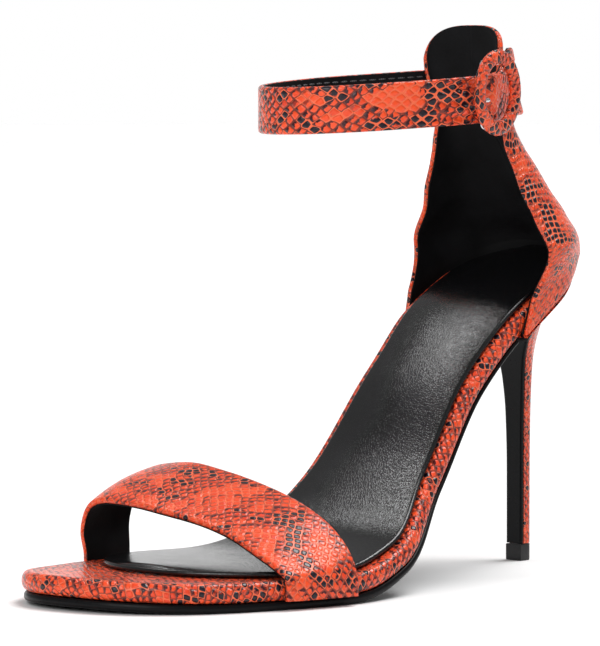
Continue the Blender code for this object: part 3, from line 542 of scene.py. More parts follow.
def toe_strap_surface(around, across, offset):
    """Grid of the toe strap's outer face moved inward: rows go round the foot, columns go back.

    Each column stands on the footbed's edge at its own place, and its form is a blend of the
    front edge's and the back edge's, with a bulge of sine times sine. The back edge runs nearer
    to the front one toward the strap's inner end.
    """
    knots = column(TOE_STRAP_ROWS, "around")
    turns = np.linspace(0.0, 1.0, around)[:, None]
    front_share, front_up, back_share, back_up = (
        smooth_curve(knots, column(TOE_STRAP_ROWS, name), turns)
        for name in ("across_front", "up_front", "across_back", "up_back"))
    narrow = TOE_STRAP_NARROW * (1 - smooth_step(turns / TOE_STRAP_NARROW_REACH))
    blend = np.linspace(0.0, 1.0, across) * (1 - narrow)
    distance = TOE_STRAP_FRONT + (TOE_STRAP_BACK - TOE_STRAP_FRONT) * blend
    lateral, medial = half_widths(distance / FOOT_LENGTH)
    left = -medial - GAP - WALL
    right = lateral + GAP + WALL
    x = left + (right - left) * (front_share + (back_share - front_share) * blend)
    z = TOE_STRAP_FRONT_HEIGHT * front_up * (1 - blend) + TOE_STRAP_BACK_HEIGHT * back_up * blend
    y = FOOT_BACK - distance
    surface = np.stack([x, y, STRAP_FOOT + z], -1)
    bulge = TOE_STRAP_BULGE * np.sin(math.pi * blend) * np.sin(math.pi * turns)
    surface = surface + grid_normals(surface) * (bulge - offset)[..., None]
    surface[0, :, 2] = STRAP_FOOT
    surface[-1, :, 2] = STRAP_FOOT
    return surface


def strap_lift(angle):
    """How far the strap stands off the loop where it passes over the buckle strap."""
    lap = smooth_step((angle - LAP_START) / LAP_LENGTH) * (WALL + 2 * GAP)
    return lap + smooth_step((angle - TAIL_START) / LAP_LENGTH) * TAIL_OUT


def loop_plan():
    """Plan of the ankle loop at whole degrees: half an ellipse in front, the table behind."""
    turn = np.arange(361.0)
    x = np.cos(np.radians(turn))
    y = np.sin(np.radians(turn)) * ANKLE_FORE
    behind = turn <= 180
    from_side = np.minimum(turn, 180 - turn)[behind]
    knots = column(LOOP_ROWS, "turn")
    x[behind] = smooth_curve(knots, column(LOOP_ROWS, "wide"), from_side) * np.sign(90.5 - turn[behind])
    y[behind] = smooth_curve(knots, column(LOOP_ROWS, "long"), from_side) * ANKLE_AFT
    x = x * ANKLE_WIDTH / 2
    x[90] = 0.0
    along = np.stack([np.gradient(x), np.gradient(y)], -1)
    along[0] = along[-1] = (0.0, 1.0)
    along = unit(along)
    return turn, x, y, along[:, 1], -along[:, 0]


LOOP_TURN, LOOP_X, LOOP_Y, LOOP_OUT_X, LOOP_OUT_Y = loop_plan()


def loop_point(angle, across, out):
    """Point of the ankle loop: degrees round it, share of the strap's width, distance outward."""
    turn = angle % 360.0
    lean = STRAP_LEAN * (across - 0.5) * smooth_step(np.interp(turn, LOOP_TURN, LOOP_Y) / LEAN_FULL)
    x = np.interp(turn, LOOP_TURN, LOOP_X) + out * np.interp(turn, LOOP_TURN, LOOP_OUT_X)
    y = np.interp(turn, LOOP_TURN, LOOP_Y) + out * np.interp(turn, LOOP_TURN, LOOP_OUT_Y)
    z = STRAP_HEIGHT + (across - 0.5) * STRAP_WIDTH + TILT_SIDE * x + TILT_BACK * y
    return np.stack([x, y + FOOT_BACK - ANKLE_FRONT + ANKLE_FORE - lean, z], -1)


Shell = namedtuple("Shell", "points quads triangles skin")
NO_TRIANGLES = np.zeros((0, 3), int)


def grid_quads(rows, columns, closed=False):
    """Quads of a grid of points, whose columns may close on themselves."""
    i, j = np.meshgrid(np.arange(rows - 1), np.arange(columns if closed else columns - 1), indexing="ij")
    k = (j + 1) % columns
    corners = [i * columns + j, i * columns + k, (i + 1) * columns + k, (i + 1) * columns + j]
    return np.stack(corners, -1).reshape(-1, 4)


def arc_lengths(grid, axis):
    """Length from the first point of each line of a grid, along one of its directions."""
    steps = np.linalg.norm(np.diff(grid, axis=axis), axis=2)
    start = np.zeros((1, steps.shape[1]) if axis == 0 else (steps.shape[0], 1))
    return np.concatenate([start, np.cumsum(steps, axis=axis)], axis=axis)


def skin_of(grid):
    """Flat place in millimetres of each point of a grid: length along its middle line, and across."""
    along = arc_lengths(grid, 0)
    across = arc_lengths(grid, 1)
    middle = along[:, along.shape[1] // 2][:, None]
    centre = across[:, across.shape[1] // 2][:, None]
    return np.stack([np.broadcast_to(middle, along.shape), across - centre], -1)


def trimmed(grid, rows_from, rows_to, columns_from, columns_to):
    """Grid cut back by lengths in millimetres at its four sides, read between its own lines."""
    for axis, start, end in ((0, rows_from, rows_to), (1, columns_from, columns_to)):
        if start == 0 and end == 0:
            continue
        lines = np.moveaxis(grid, axis, 0)
        total = arc_lengths(grid, axis).max(axis=axis)
        count = len(lines)
        first = start / total
        last = 1 - end / total
        place = (first + (last - first) * np.linspace(0.0, 1.0, count)[:, None]) * (count - 1)
        low = np.clip(place.astype(int), 0, count - 2)
        share = (place - low)[..., None]
        side = np.arange(lines.shape[1])
        grid = np.moveaxis(lines[low, side] * (1 - share) + lines[low + 1, side] * share, 0, axis)
    return grid


def border_of(rows, columns):
    """Indices round the border of a grid, in order."""
    low = np.arange(rows)
    side = np.arange(1, columns)
    return np.concatenate([low * columns, (rows - 1) * columns + side,
                           low[-2::-1] * columns + columns - 1, side[-2::-1]])


def away_from(grid, normals, ring, round_rows):
    """Unit directions off a grid's border, in the surface; none off the inside of a flat row.

    Each is the cross product of the border's own direction with the surface's normal, so that it
    turns evenly round a corner that the border rounds off.
    """
    rows, columns = grid.shape[:2]
    border = grid.reshape(-1, 3)[ring]
    along = np.roll(border, -1, 0) - np.roll(border, 1, 0)
    away = np.cross(along, normals.reshape(-1, 3)[ring])
    middle = border - grid.reshape(-1, 3).mean(axis=0)
    if np.sum(away * middle) < 0:
        away = -away
    away /= np.linalg.norm(away, axis=1, keepdims=True) + 1e-9
    row, side = ring // columns, ring % columns
    inside = (side > 0) & (side < columns - 1)
    for place, rounded in ((0, round_rows[0]), (rows - 1, round_rows[1])):
        if not rounded:
            away[(row == place) & inside] = 0.0
            corner = (row == place) & ~inside
            step = np.where(side == 0, 1, -1)
            inward = grid.reshape(-1, 3)[np.where(corner, ring + step, ring)]
            out = border - inward
            out /= np.linalg.norm(out, axis=1, keepdims=True) + 1e-9
            away[corner] = out[corner]
    return away


def rolled_wall(outer, inner, skin, round_rows=(True, True), turns=4):
    """Closed wall between two grids: its border is half a circle, turned off the surface's edge.

    A border point is the middle of both faces, plus half the wall times the cosine of a turn
    toward the outer face, plus half the wall times its sine away from the edge.
    """
    rows, columns = outer.shape[:2]
    ring = border_of(rows, columns)
    face = outer.reshape(-1, 3)[ring]
    back = inner.reshape(-1, 3)[ring]
    away = away_from(outer, grid_normals(outer), ring, round_rows)
    flat_grid = np.concatenate([skin, np.zeros_like(skin[..., :1])], -1)
    upright = np.broadcast_to(np.array([0.0, 0.0, 1.0]), flat_grid.shape)
    skin_away = away_from(flat_grid, upright, ring, round_rows)[:, :2]
    middle = (face + back) / 2
    half = (face - back) / 2
    size = np.linalg.norm(half, axis=1, keepdims=True)
    turn = np.linspace(0.0, math.pi, turns + 2)[1:-1, None, None]
    rolls = middle + half * np.cos(turn) + away * size * np.sin(turn)
    flat = skin.reshape(-1, 2)[ring]
    roll_skin = flat + skin_away * size * turn
    count = rows * columns
    quads = grid_quads(rows, columns)
    n = len(ring)
    made = 2 * count + np.arange(turns * n).reshape(turns, n)
    rings = np.concatenate([ring[None], made, count + ring[None]])
    here, there = rings[:-1], rings[1:]
    strip = np.stack([here, np.roll(here, -1, 1), np.roll(there, -1, 1), there], -1).reshape(-1, 4)
    points = np.concatenate([outer.reshape(-1, 3), inner.reshape(-1, 3), rolls.reshape(-1, 3)])
    skins = np.concatenate([skin.reshape(-1, 2)] * 2 + [roll_skin.reshape(-1, 2)])
    quads = np.concatenate([quads, quads[:, ::-1] + count, strip])
    return Shell(points, quads, NO_TRIANGLES, skins)


def end_fans(levels, count):
    """Triangles that close both ends of rings of points, whose middles follow the last ring."""
    i = np.arange(count)
    j = (i + 1) % count
    last = (levels - 1) * count
    low = np.stack([j, i, np.full(count, levels * count)], -1)
    high = np.stack([last + i, last + j, np.full(count, levels * count + 1)], -1)
    return np.concatenate([low, high])


def closed_loft(rings, skin):
    """Rings of points joined in turn, each end closed by a fan round its middle."""
    levels, count = rings.shape[:2]
    quads = grid_quads(levels, count, closed=True)
    points = np.concatenate([rings.reshape(-1, 3), rings[[0, -1]].mean(axis=1)])
    skins = np.concatenate([skin.reshape(-1, 2), skin[[0, -1]].mean(axis=1)])
    return Shell(points, quads, end_fans(levels, count), skins)


def ring_of(outer, inner, columns):
    """One ring from both edges of a flat outline and the straight lines that join their ends."""
    share = np.linspace(0.0, 1.0, columns + 1)[1:-1, None]
    end = outer[-1] + (inner[-1] - outer[-1]) * share
    start = inner[0] + (outer[0] - inner[0]) * share
    return np.concatenate([outer, end, inner[::-1], start])


def plate(outer, inner, top, thickness, rounding, turns=9, columns=24, crown=None):
    """Closed plate laid on the last: its edge is half an ellipse, and a grid closes each face.

    The crown is a height over the upper face as a function of the shares along and across it.
    """
    stations = len(outer)
    chord = columns - 1
    deep = np.concatenate([thickness, np.full(chord, thickness[-1]), thickness[::-1],
                           np.full(chord, thickness[0])])
    turn = np.linspace(0.0, math.pi, turns)
    inset = rounding * (1 - np.sin(turn))
    fall = thickness.mean() * (1 - np.cos(turn)) / 2
    arc = run_of(np.stack([inset, fall], -1))
    rings = [ring_of(*moved_inward(outer, inner, distance), columns) for distance in inset]
    skins = [ring_of(*moved_inward(outer, inner, rounding - length), columns) for length in arc]
    drops = top + deep * (1 - np.cos(turn))[:, None] / 2
    points = [on_last(np.array(rings), drops).reshape(-1, 3)]
    flats = [np.array(skins).reshape(-1, 2)]
    count = len(rings[0])
    quads = [grid_quads(turns, count, closed=True)]
    made = turns * count
    out_edge, in_edge = moved_inward(outer, inner, rounding)
    share = np.linspace(0.0, 1.0, columns + 1)[1:-1]
    inside = out_edge[1:-1, None] + (in_edge - out_edge)[1:-1, None] * share[:, None]
    station = np.arange(stations)
    along = station[1:-1, None] / (stations - 1)
    for ring, side in ((0, 0.0), (turns - 1, 1.0)):
        ladder = np.zeros((stations, columns + 1), int)
        ladder[:, 0] = ring * count + station
        ladder[:, -1] = ring * count + 2 * stations + chord - 1 - station
        ladder[-1, 1:-1] = ring * count + stations + np.arange(chord)
        ladder[0, 1:-1] = ring * count + 2 * stations + chord + np.arange(chord)[::-1]
        ladder[1:-1, 1:-1] = made + np.arange((stations - 2) * chord).reshape(-1, chord)
        made += (stations - 2) * chord
        rise = crown(along, share) if crown and not side else 0.0
        points.append(on_last(inside, top + (thickness * side)[1:-1, None] - rise).reshape(-1, 3))
        flats.append(inside.reshape(-1, 2))
        corners = [ladder[:-1, :-1], ladder[:-1, 1:], ladder[1:, 1:], ladder[1:, :-1]]
        quad = np.stack(corners, -1).reshape(-1, 4)
        quads.append(quad[:, ::-1] if side else quad)
    return Shell(np.concatenate(points), np.concatenate(quads), NO_TRIANGLES, np.concatenate(flats))


def linear(colour):
    """Linear colour with alpha from an sRGB hex code."""
    parts = [int(colour[i:i + 2], 16) / 255 for i in (0, 2, 4)]
    return tuple(c / 12.92 if c <= 0.04045 else ((c + 0.055) / 1.055) ** 2.4 for c in parts) + (1.0,)


def rod(path, radius):
    """Round rod along a smooth path with domed ends: rings turned round the path's own direction.

    Each ring's radius is the rod's, times the root of one less the squared place in the dome.
    """
    path = np.asarray(path, float)
    along = heading(path)
    dome = np.sin(np.linspace(0.0, 0.98, ROD_DOME) * math.pi / 2)
    low = path[0] - along[0] * radius * dome[::-1, None]
    high = path[-1] + along[-1] * radius * dome[:, None]
    path = np.concatenate([low, path[1:-1], high])
    domed = np.sqrt(1 - dome ** 2)
    sizes = radius * np.concatenate([domed[::-1], np.ones(len(path) - 2 * len(dome)), domed])
    along = heading(path)
    # any direction that no rod of the buckle runs in
    side = unit(np.cross(along, (0.31, 0.52, 0.79)))
    other = np.cross(along, side)
    turn = np.linspace(0.0, 2 * math.pi, ROD_SIDES, endpoint=False)[:, None]
    radial = side[:, None] * np.cos(turn) + other[:, None] * np.sin(turn)
    rings = path[:, None] + sizes[:, None, None] * radial
    skin = np.stack(np.broadcast_arrays(run_of(path)[:, None], radius * turn[:, 0]), -1)
    return closed_loft(rings, skin)


def dashes(line, out, length, gap, radius):
    """Row of stitches along a line: flattened beads whose radius is the root of one less the square.

    The line and its outward normals are read at even lengths, and each bead follows them.
    """
    run = run_of(line)
    starts = np.arange(gap, run[-1] - length, length + gap)
    place = np.linspace(-1.0, 1.0, BEAD)
    at = starts[:, None] + length * (place + 1) / 2
    centre = np.stack([np.interp(at, run, line[:, k]) for k in range(3)], -1)
    normal = np.stack([np.interp(at, run, out[:, k]) for k in range(3)], -1)
    side = np.cross(heading(centre, axis=1), normal)
    size = radius * np.sqrt(1 - (place * BEAD_END) ** 2)[None, :, None, None]
    turn = np.linspace(0.0, 2 * math.pi, BEAD, endpoint=False)[:, None]
    radial = side[:, :, None] * np.cos(turn) + BEAD_FLATNESS * normal[:, :, None] * np.sin(turn)
    rings = centre[:, :, None] + size * radial
    beads = len(starts)
    count = BEAD * BEAD
    one = grid_quads(BEAD, BEAD, closed=True)
    shift = np.arange(beads)[:, None, None] * (count + 2)
    ends = rings[:, [0, -1]].mean(axis=2)
    points = np.concatenate([rings.reshape(beads, count, 3), ends], axis=1).reshape(-1, 3)
    triangles = (end_fans(BEAD, BEAD)[None] + shift).reshape(-1, 3)
    skin = np.stack([np.repeat(starts, count + 2), points[:, 2]], -1)
    return Shell(points, (one[None] + shift).reshape(-1, 4), triangles, skin)


def joined(*shells):
    """Several shells as one."""
    points, quads, triangles, skins = [], [], [], []
    first = 0
    for shell in shells:
        points.append(shell.points)
        quads.append(shell.quads + first)
        triangles.append(shell.triangles + first)
        skins.append(shell.skin)
        first += len(shell.points)
    return Shell(*(np.concatenate(part) for part in (points, quads, triangles, skins)))


# Dark patches of the print, and bright ones where the strength is negative, in millimetres of skin
MARK_FIELDS = "along across reach_along reach_across strength"
STRAP_MARKS = table(
    MARK_FIELDS,
    (114.0, -5.5, 4.0, 3.0, 0.24),
    (117.0, 5.0, 4.0, 3.0, 0.20),
    (126.0, 4.5, 5.0, 3.5, 0.22),
    (138.0, -5.0, 8.0, 3.0, 0.12),
    (157.5, 6.5, 6.0, 2.2, 0.30),
    (164.5, 2.4, 7.5, 4.6, -0.60),
    (168.0, -4.6, 11.0, 3.0, 0.34),
    (174.5, 3.5, 3.0, 7.0, 0.36),
    (184.0, 0.0, 9.0, 9.0, 0.26),
    (203.0, 2.0, 4.0, 3.0, -0.45),
)
TOE_MARKS = table(
    MARK_FIELDS,
    (60.0, 8.0, 16.0, 3.6, 0.36),
    (61.0, -3.0, 4.5, 7.0, 0.32),
    (44.0, -3.5, 9.0, 2.6, 0.22),
    (90.0, -5.0, 6.5, 3.4, 0.30),
    (101.0, 4.5, 5.0, 6.0, 0.32),
    (107.5, 3.0, 4.0, 4.0, 0.26),
    (114.0, -1.5, 5.0, 3.2, 0.32),
    (122.0, -3.5, 6.0, 2.8, 0.34),
    (128.5, 8.0, 5.0, 5.0, 0.36),
    (78.0, 0.0, 7.0, 5.0, -0.20),
    (117.0, 6.0, 5.0, 5.0, -0.25),
)
COUNTER_MARKS = table(
    MARK_FIELDS,
    (57.0, 21.0, 5.0, 4.0, 0.34),
    (45.0, 30.0, 6.0, 4.5, 0.36),
    (31.0, 36.0, 6.5, 6.5, 0.32),
    (14.0, 43.0, 6.0, 5.0, 0.20),
    (51.0, 25.0, 4.0, 6.0, -0.30),
)
BOARD_MARKS = table(
    MARK_FIELDS,
    (-22.0, 225.0, 16.0, 22.0, -0.16),
    (-30.0, 205.0, 6.0, 13.0, 0.30),
    (-8.0, 212.0, 9.0, 6.0, 0.22),
    (40.0, 205.0, 8.0, 22.0, 0.12),
)


def print_amount(skin, marks):
    """Darkness of the print at flat places: the sum over the marks of a bell round each one."""
    amount = np.zeros(len(skin))
    for mark in marks:
        far = ((skin[:, 0] - mark.along) / mark.reach_along) ** 2
        far = far + ((skin[:, 1] - mark.across) / mark.reach_across) ** 2
        amount += mark.strength * np.exp(-far)
    return amount


def new_piece(name, shell, mat, nodes=(), marks=(), wrap=None, sharp=50.0):
    """One finished piece: its mesh in the shared frame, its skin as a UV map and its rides.

    The faces are turned outward when six times the enclosed volume, the sum over the triangles of
    a corner dotted with the cross product of the other two, is below zero.
    """
    points = (shell.points + SHIFT) * MM
    quads, triangles = shell.quads, shell.triangles
    halves = np.concatenate([quads[:, :3], quads[:, [0, 2, 3]], triangles])
    a, b, c = (points[halves[:, k]] for k in range(3))
    if np.sum(a * np.cross(b, c)) < 0:
        quads = quads[:, ::-1]
        triangles = triangles[:, ::-1]
    corners = np.concatenate([quads.ravel(), triangles.ravel()]).astype(np.int32)
    starts = np.concatenate([np.arange(len(quads)) * 4, len(quads) * 4 + np.arange(len(triangles)) * 3])
    mesh = bpy.data.meshes.new(name)
    mesh.vertices.add(len(points))
    mesh.vertices.foreach_set("co", points.astype(np.float32).ravel())
    mesh.loops.add(len(corners))
    mesh.loops.foreach_set("vertex_index", corners)
    mesh.polygons.add(len(starts))
    mesh.polygons.foreach_set("loop_start", starts.astype(np.int32))
    mesh.update(calc_edges=True)
    if mesh.validate():
        raise RuntimeError("the mesh of " + name + " isn't sound")
    flat = shell.skin[corners]
    if wrap:
        last = len(quads) * 4
        by_face = flat[:last].reshape(-1, 4, 2)
        span = np.array(wrap)
        by_face += np.where(by_face.max(axis=1, keepdims=True) - by_face > span / 2, span, 0.0)
        flat[:last] = by_face.reshape(-1, 2)
    mesh.uv_layers.new(name="skin").data.foreach_set("uv", (flat / SKIN_UNIT).astype(np.float32).ravel())
    amount = mesh.attributes.new("print", "FLOAT", "POINT")
    amount.data.foreach_set("value", print_amount(shell.skin, marks).astype(np.float32))
    mesh.shade_smooth()
    mesh.set_sharp_from_angle(angle=math.radians(sharp))
    mesh.materials.append(mat)
    piece = bpy.data.objects.new(name, mesh)
    bpy.context.scene.collection.objects.link(piece)
    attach(piece, "root")
    if nodes:
        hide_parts(*nodes)
    return piece


def put(tree, socket, value):
    """Gives a socket a value, or a link from another socket or from a node's first live output."""
    if isinstance(value, bpy.types.Node):
        value = next(output for output in value.outputs if output.enabled)
    if isinstance(value, bpy.types.NodeSocket):
        tree.links.new(value, socket)
    else:
        socket.default_value = value


def add_node(tree, kind, *values, inputs=None, **settings):
    """Adds a shader node, sets its properties, and fills its sockets in order and then by name."""
    node = tree.nodes.new("ShaderNode" + kind)
    for name, value in settings.items():
        setattr(node, name, value)
    for name, value in (*enumerate(values), *(inputs or {}).items()):
        put(tree, node.inputs[name], value)
    return node


def new_material(name):
    """Empty node material and its tree, ready for its pattern."""
    mat = bpy.data.materials.new(name)
    mat.use_nodes = True
    return mat, mat.node_tree


def fill(tree, **values):
    """Sets the shader's own sockets: numbers and colours that are the same all over, or patterns."""
    shader = tree.nodes["Principled BSDF"]
    for name, value in values.items():
        put(tree, shader.inputs[name.replace("_", " ").title().replace("Ior", "IOR")], value)


def weather(tree, cloud, smooth, rough, dark, pale=None, relief=None, depth=0.0, strength=0.0):
    """Lets patterns vary a surface: a cloud its roughness and colour, and a relief its height in mm."""
    looks = {"roughness": add_node(tree, "MapRange", cloud, *NOISE_SPAN, smooth, rough), "base_color": dark}
    if pale:
        looks["base_color"] = add_node(tree, "Mix", cloud, inputs={6: dark, 7: pale}, data_type="RGBA")
    if relief:
        looks["normal"] = add_node(tree, "Bump", inputs={
            "Strength": strength, "Distance": depth * MM, "Height": relief})
    fill(tree, **looks)


# where most of a noise's values lie
NOISE_SPAN = (0.3, 0.7)
# lattice of scales: how it wanders, how uneven it is, and from where a scale's corners are cut
WANDER_TURNS = 14.0
WANDER = 0.014
UNEVENNESS = 0.34
CORNER_START = 0.36
CORNER_CUT = -0.5
# grain inside the scales, and how far chance and the grain add to the print on one
GRAIN = 1.6
CHANCE_PRINT = 0.16
GRAIN_PRINT = 0.10
# limits of the print where a scale turns all dark, and where it takes a dark end and dark grooves, which are
# print with painted shade
DARK_EDGE = (0.15, 0.18)
NEAR_EDGE = (-0.12, -0.04)
# the dark end's direction in the lattice, its ragged edge and its limits; the dark end is print, and painted
# shade where a scale sinks under its neighbour
END_TOWARD = (-0.92, -0.38, 0.0)
END_GRAIN = 0.9
END_CHANCE = 0.22
END_EDGE = (0.68, 0.74)
CLOUD_TURNS = 9.0
CLOUD_EDGE = (0.35, 0.65)
# the grooves: how the grain frays them, and the distance from a scale's edge where they end
GROOVE_GRAIN = -0.12
GROOVE_EDGE = (-0.03, 0.02)
# distances from a scale's edge and the roughness there, and what the grain adds
GLOSS_SPAN = (0.03, 0.2, 0.50, 0.26)
GLOSS_GRAIN = 0.12
# width of a pillow's flank, its rise toward one end, its grain, its height in mm and its strength
PILLOW = 0.3
PILLOW_SLOPE = -0.35
PILLOW_GRAIN = 0.3
PILLOW_HEIGHT = 0.30
PILLOW_STRENGTH = 0.9

# scale length and height in mm, size of the dark patches in mm, how rare they are,
# strength of the dark ends (print and painted shade), darkness of the grooves (print and painted shade),
# place in the print
Snake = namedtuple("Snake", "long high patch clear crescent groove shift")
SNAKES = {
    "ankle_strap": Snake(4.3, 3.2, 16.0, 0.66, 1.0, 0.85, (0.3, 0.1)),
    "toe_strap": Snake(3.4, 3.1, 14.0, 0.71, 0.95, 0.70, (4.3, 1.7)),
    "board": Snake(3.5, 2.8, 11.0, 0.58, 0.95, 0.8, (2.1, 7.7)),
    "counter": Snake(3.3, 3.1, 15.0, 0.60, 0.8, 0.4, (6.2, 3.3)),
    "heel": Snake(2.8, 2.5, 12.0, 0.56, 0.9, 0.6, (1.9, 5.1)),
    "ring": Snake(2.9, 2.6, 8.0, 0.54, 0.9, 0.6, (8.4, 2.5)),
}


def snake_leather(name, colours):
    """Embossed polyurethane leather with a printed snake pattern.

    The plate that embosses it leaves rounded scales with fine grooves between them, and the print
    darkens whole scales in patches. Near the patches one end of each scale, where it sinks under its
    neighbour, and the grooves turn maroon: print, with painted shade. It looks bright and a little
    oily: the scales are smoother than the grooves, and a thin clear finish lies over both.
    """
    look = SNAKES[name]
    mat, tree = new_material("snake_print_leather_" + name)
    skin = add_node(tree, "UVMap", uv_map="skin")
    # rows of scales that wander a little, as leather stretched over a form does
    wander, cloud = (add_node(tree, "TexNoise", skin, inputs={"Scale": turns, "Detail": 2.0},
                              noise_dimensions="2D") for turns in (WANDER_TURNS, CLOUD_TURNS))
    off = add_node(tree, "VectorMath", wander.outputs["Color"], (0.5, 0.5, 0.5), operation="SUBTRACT")
    off = add_node(tree, "VectorMath", off, inputs={"Scale": WANDER}, operation="SCALE")
    bent = add_node(tree, "VectorMath", skin, off, operation="ADD")
    scale = (SKIN_UNIT * math.sqrt(2) / look.long, SKIN_UNIT * math.sqrt(2) / look.high, 1.0)
    lattice = add_node(tree, "Mapping", bent, inputs={
        "Location": (*look.shift, 0.0), "Rotation": (0.0, 0.0, math.radians(45.0)), "Scale": scale})
    cell, edge = (add_node(tree, "TexVoronoi", lattice, inputs={"Scale": 1.0, "Randomness": UNEVENNESS},
                           voronoi_dimensions="2D", feature=kind) for kind in ("F1", "DISTANCE_TO_EDGE"))
    place = cell.outputs["Position"]
    # distance from a scale's edge, with its corners rounded off
    corner = add_node(tree, "Math", cell.outputs["Distance"], CORNER_START, operation="SUBTRACT")
    corner = add_node(tree, "Math", corner, 0.0, operation="MAXIMUM")
    inside = add_node(tree, "Math", corner, CORNER_CUT, edge, operation="MULTIPLY_ADD")
    chance = add_node(tree, "SeparateColor", cell.outputs["Color"]).outputs
    local = add_node(tree, "VectorMath", lattice, place, operation="SUBTRACT")
    toward = add_node(tree, "VectorMath", local, END_TOWARD, operation="DOT_PRODUCT")
    grain = add_node(tree, "TexNoise", lattice, inputs={"Scale": GRAIN, "Detail": 3.0}, noise_dimensions="2D")
    patch = add_node(tree, "TexNoise", place, noise_dimensions="2D", inputs={
        "Scale": look.long / math.sqrt(2) / look.patch * 2, "Detail": 1.5})
    # how much print a scale takes: patches, the listed marks, chance and grain
    marks = add_node(tree, "Attribute", attribute_name="print").outputs["Fac"]
    drawn = add_node(tree, "Math", patch, marks, operation="ADD")
    for part, weight in ((chance[0], CHANCE_PRINT), (grain, GRAIN_PRINT)):
        drawn = add_node(tree, "Math", part, weight, drawn, operation="MULTIPLY_ADD")
    dark, near = (add_node(tree, "MapRange", drawn, look.clear + low, look.clear + high)
                  for low, high in (DARK_EDGE, NEAR_EDGE))
    # the dark end of a scale, with a ragged edge: print, and painted shade where the scale sinks under its
    # neighbour
    crescent = toward
    for part, weight in ((grain, END_GRAIN), (chance[2], END_CHANCE)):
        crescent = add_node(tree, "Math", part, weight, crescent, operation="MULTIPLY_ADD")
    crescent = add_node(tree, "MapRange", crescent, *END_EDGE)
    for share in (near, look.crescent):
        crescent = add_node(tree, "Math", crescent, share, operation="MULTIPLY")
    cloud = add_node(tree, "MapRange", cloud, *CLOUD_EDGE)
    # the grooves turn maroon near the patches: print, with painted shade in the recesses between the scales
    shade = add_node(tree, "Math", near, dark, operation="SUBTRACT")
    shade = add_node(tree, "Math", shade, look.groove, operation="MULTIPLY")
    groove = add_node(tree, "Mix", shade, inputs={6: colours["coral"], 7: colours["maroon"]},
                      data_type="RGBA")
    tint = colours["orange"]
    for share, name in ((chance[1], "red"), (cloud, "orange"), (crescent, "maroon"), (dark, "plum")):
        tint = add_node(tree, "Mix", share, inputs={6: tint, 7: colours[name]}, data_type="RGBA")
    body = add_node(tree, "Math", grain, GROOVE_GRAIN, inside, operation="MULTIPLY_ADD")
    body = add_node(tree, "MapRange", body, *GROOVE_EDGE)
    tint = add_node(tree, "Mix", body, inputs={6: groove, 7: tint}, data_type="RGBA")
    gloss = add_node(tree, "MapRange", inside, *GLOSS_SPAN)
    gloss = add_node(tree, "Math", grain, GLOSS_GRAIN, gloss, operation="MULTIPLY_ADD")
    # each scale is a pillow that rises toward one end
    relief = add_node(tree, "MapRange", inside, 0.0, PILLOW, interpolation_type="SMOOTHSTEP")
    for part, weight in ((toward, PILLOW_SLOPE), (grain, PILLOW_GRAIN)):
        relief = add_node(tree, "Math", part, weight, relief, operation="MULTIPLY_ADD")
    bump = add_node(tree, "Bump", inputs={
        "Strength": PILLOW_STRENGTH, "Distance": PILLOW_HEIGHT * MM, "Height": relief})
    fill(tree, base_color=tint, roughness=gloss, normal=bump, coat_normal=bump, ior=1.5,
         specular_ior_level=0.2, coat_weight=0.5, coat_roughness=0.16)
    return mat


def lining_leather(colours):
    """Black microfibre lining: a short matt nap with fine grain, which swallows light and hardly shines."""
    mat, tree = new_material("black_microfibre_lining")
    place = add_node(tree, "TexCoord").outputs["Object"]
    grain, cloud = (add_node(tree, "TexNoise", place, inputs={"Scale": turns / MM, "Detail": detail})
                    for turns, detail in ((1.4, 3.0), (0.09, 2.0)))
    weather(tree, cloud, 0.62, 0.72, colours["lining"], relief=grain, depth=0.1, strength=0.5)
    lift = add_node(tree, "MapRange", cloud, *NOISE_SPAN)
    nap = add_node(tree, "Mix", lift, inputs={6: colours["lining"], 7: colours["nap"]}, data_type="RGBA")
    fill(tree, base_color=nap, ior=1.45, sheen_weight=0.02, sheen_roughness=0.5, specular_ior_level=0.15)
    return mat


def insole_leather(colours):
    """Padded polyurethane leather: a fine pebble grain under a satin finish that gives long soft lights."""
    mat, tree = new_material("black_insole_leather")
    place = add_node(tree, "TexCoord").outputs["Object"]
    # the real grain is about 0.5 mm; it is drawn at 0.8 mm so that it shows
    pebble = add_node(tree, "TexVoronoi", place, inputs={"Scale": 1.25 / MM}, feature="DISTANCE_TO_EDGE")
    pebble = add_node(tree, "MapRange", pebble, 0.0, 0.3)
    cloud = add_node(tree, "TexNoise", place, inputs={"Scale": 0.16 / MM, "Detail": 3.0})
    weather(tree, cloud, 0.16, 0.19, colours["insole"], colours["nap"], pebble, 0.12, 0.2)
    fill(tree, ior=1.5, specular_ior_level=0.5)
    return mat


def outsole_leather(colours):
    """Dyed and waxed leather board: nearly black, semi gloss, with faint scuffs 6 mm long."""
    mat, tree = new_material("black_outsole_leather")
    place = add_node(tree, "TexCoord").outputs["Object"]
    place = add_node(tree, "Mapping", place, inputs={"Scale": (0.9 / MM, 0.16 / MM, 0.9 / MM)})
    scuff = add_node(tree, "TexNoise", place, inputs={"Scale": 1.0, "Detail": 4.0})
    weather(tree, scuff, 0.26, 0.40, colours["sole"], colours["nap"], scuff, 0.1, 0.25)
    fill(tree, ior=1.5, specular_ior_level=0.12)
    return mat


def heel_rubber(colours):
    """Hard moulded rubber of the top piece: dark grey, matt, with fine pits."""
    mat, tree = new_material("moulded_heel_rubber")
    place = add_node(tree, "TexCoord").outputs["Object"]
    pits = add_node(tree, "TexNoise", place, inputs={"Scale": 1.6 / MM, "Detail": 3.0})
    weather(tree, pits, 0.48, 0.62, colours["sole"], colours["rubber"], pits, 0.1, 0.4)
    fill(tree, ior=1.52)
    return mat


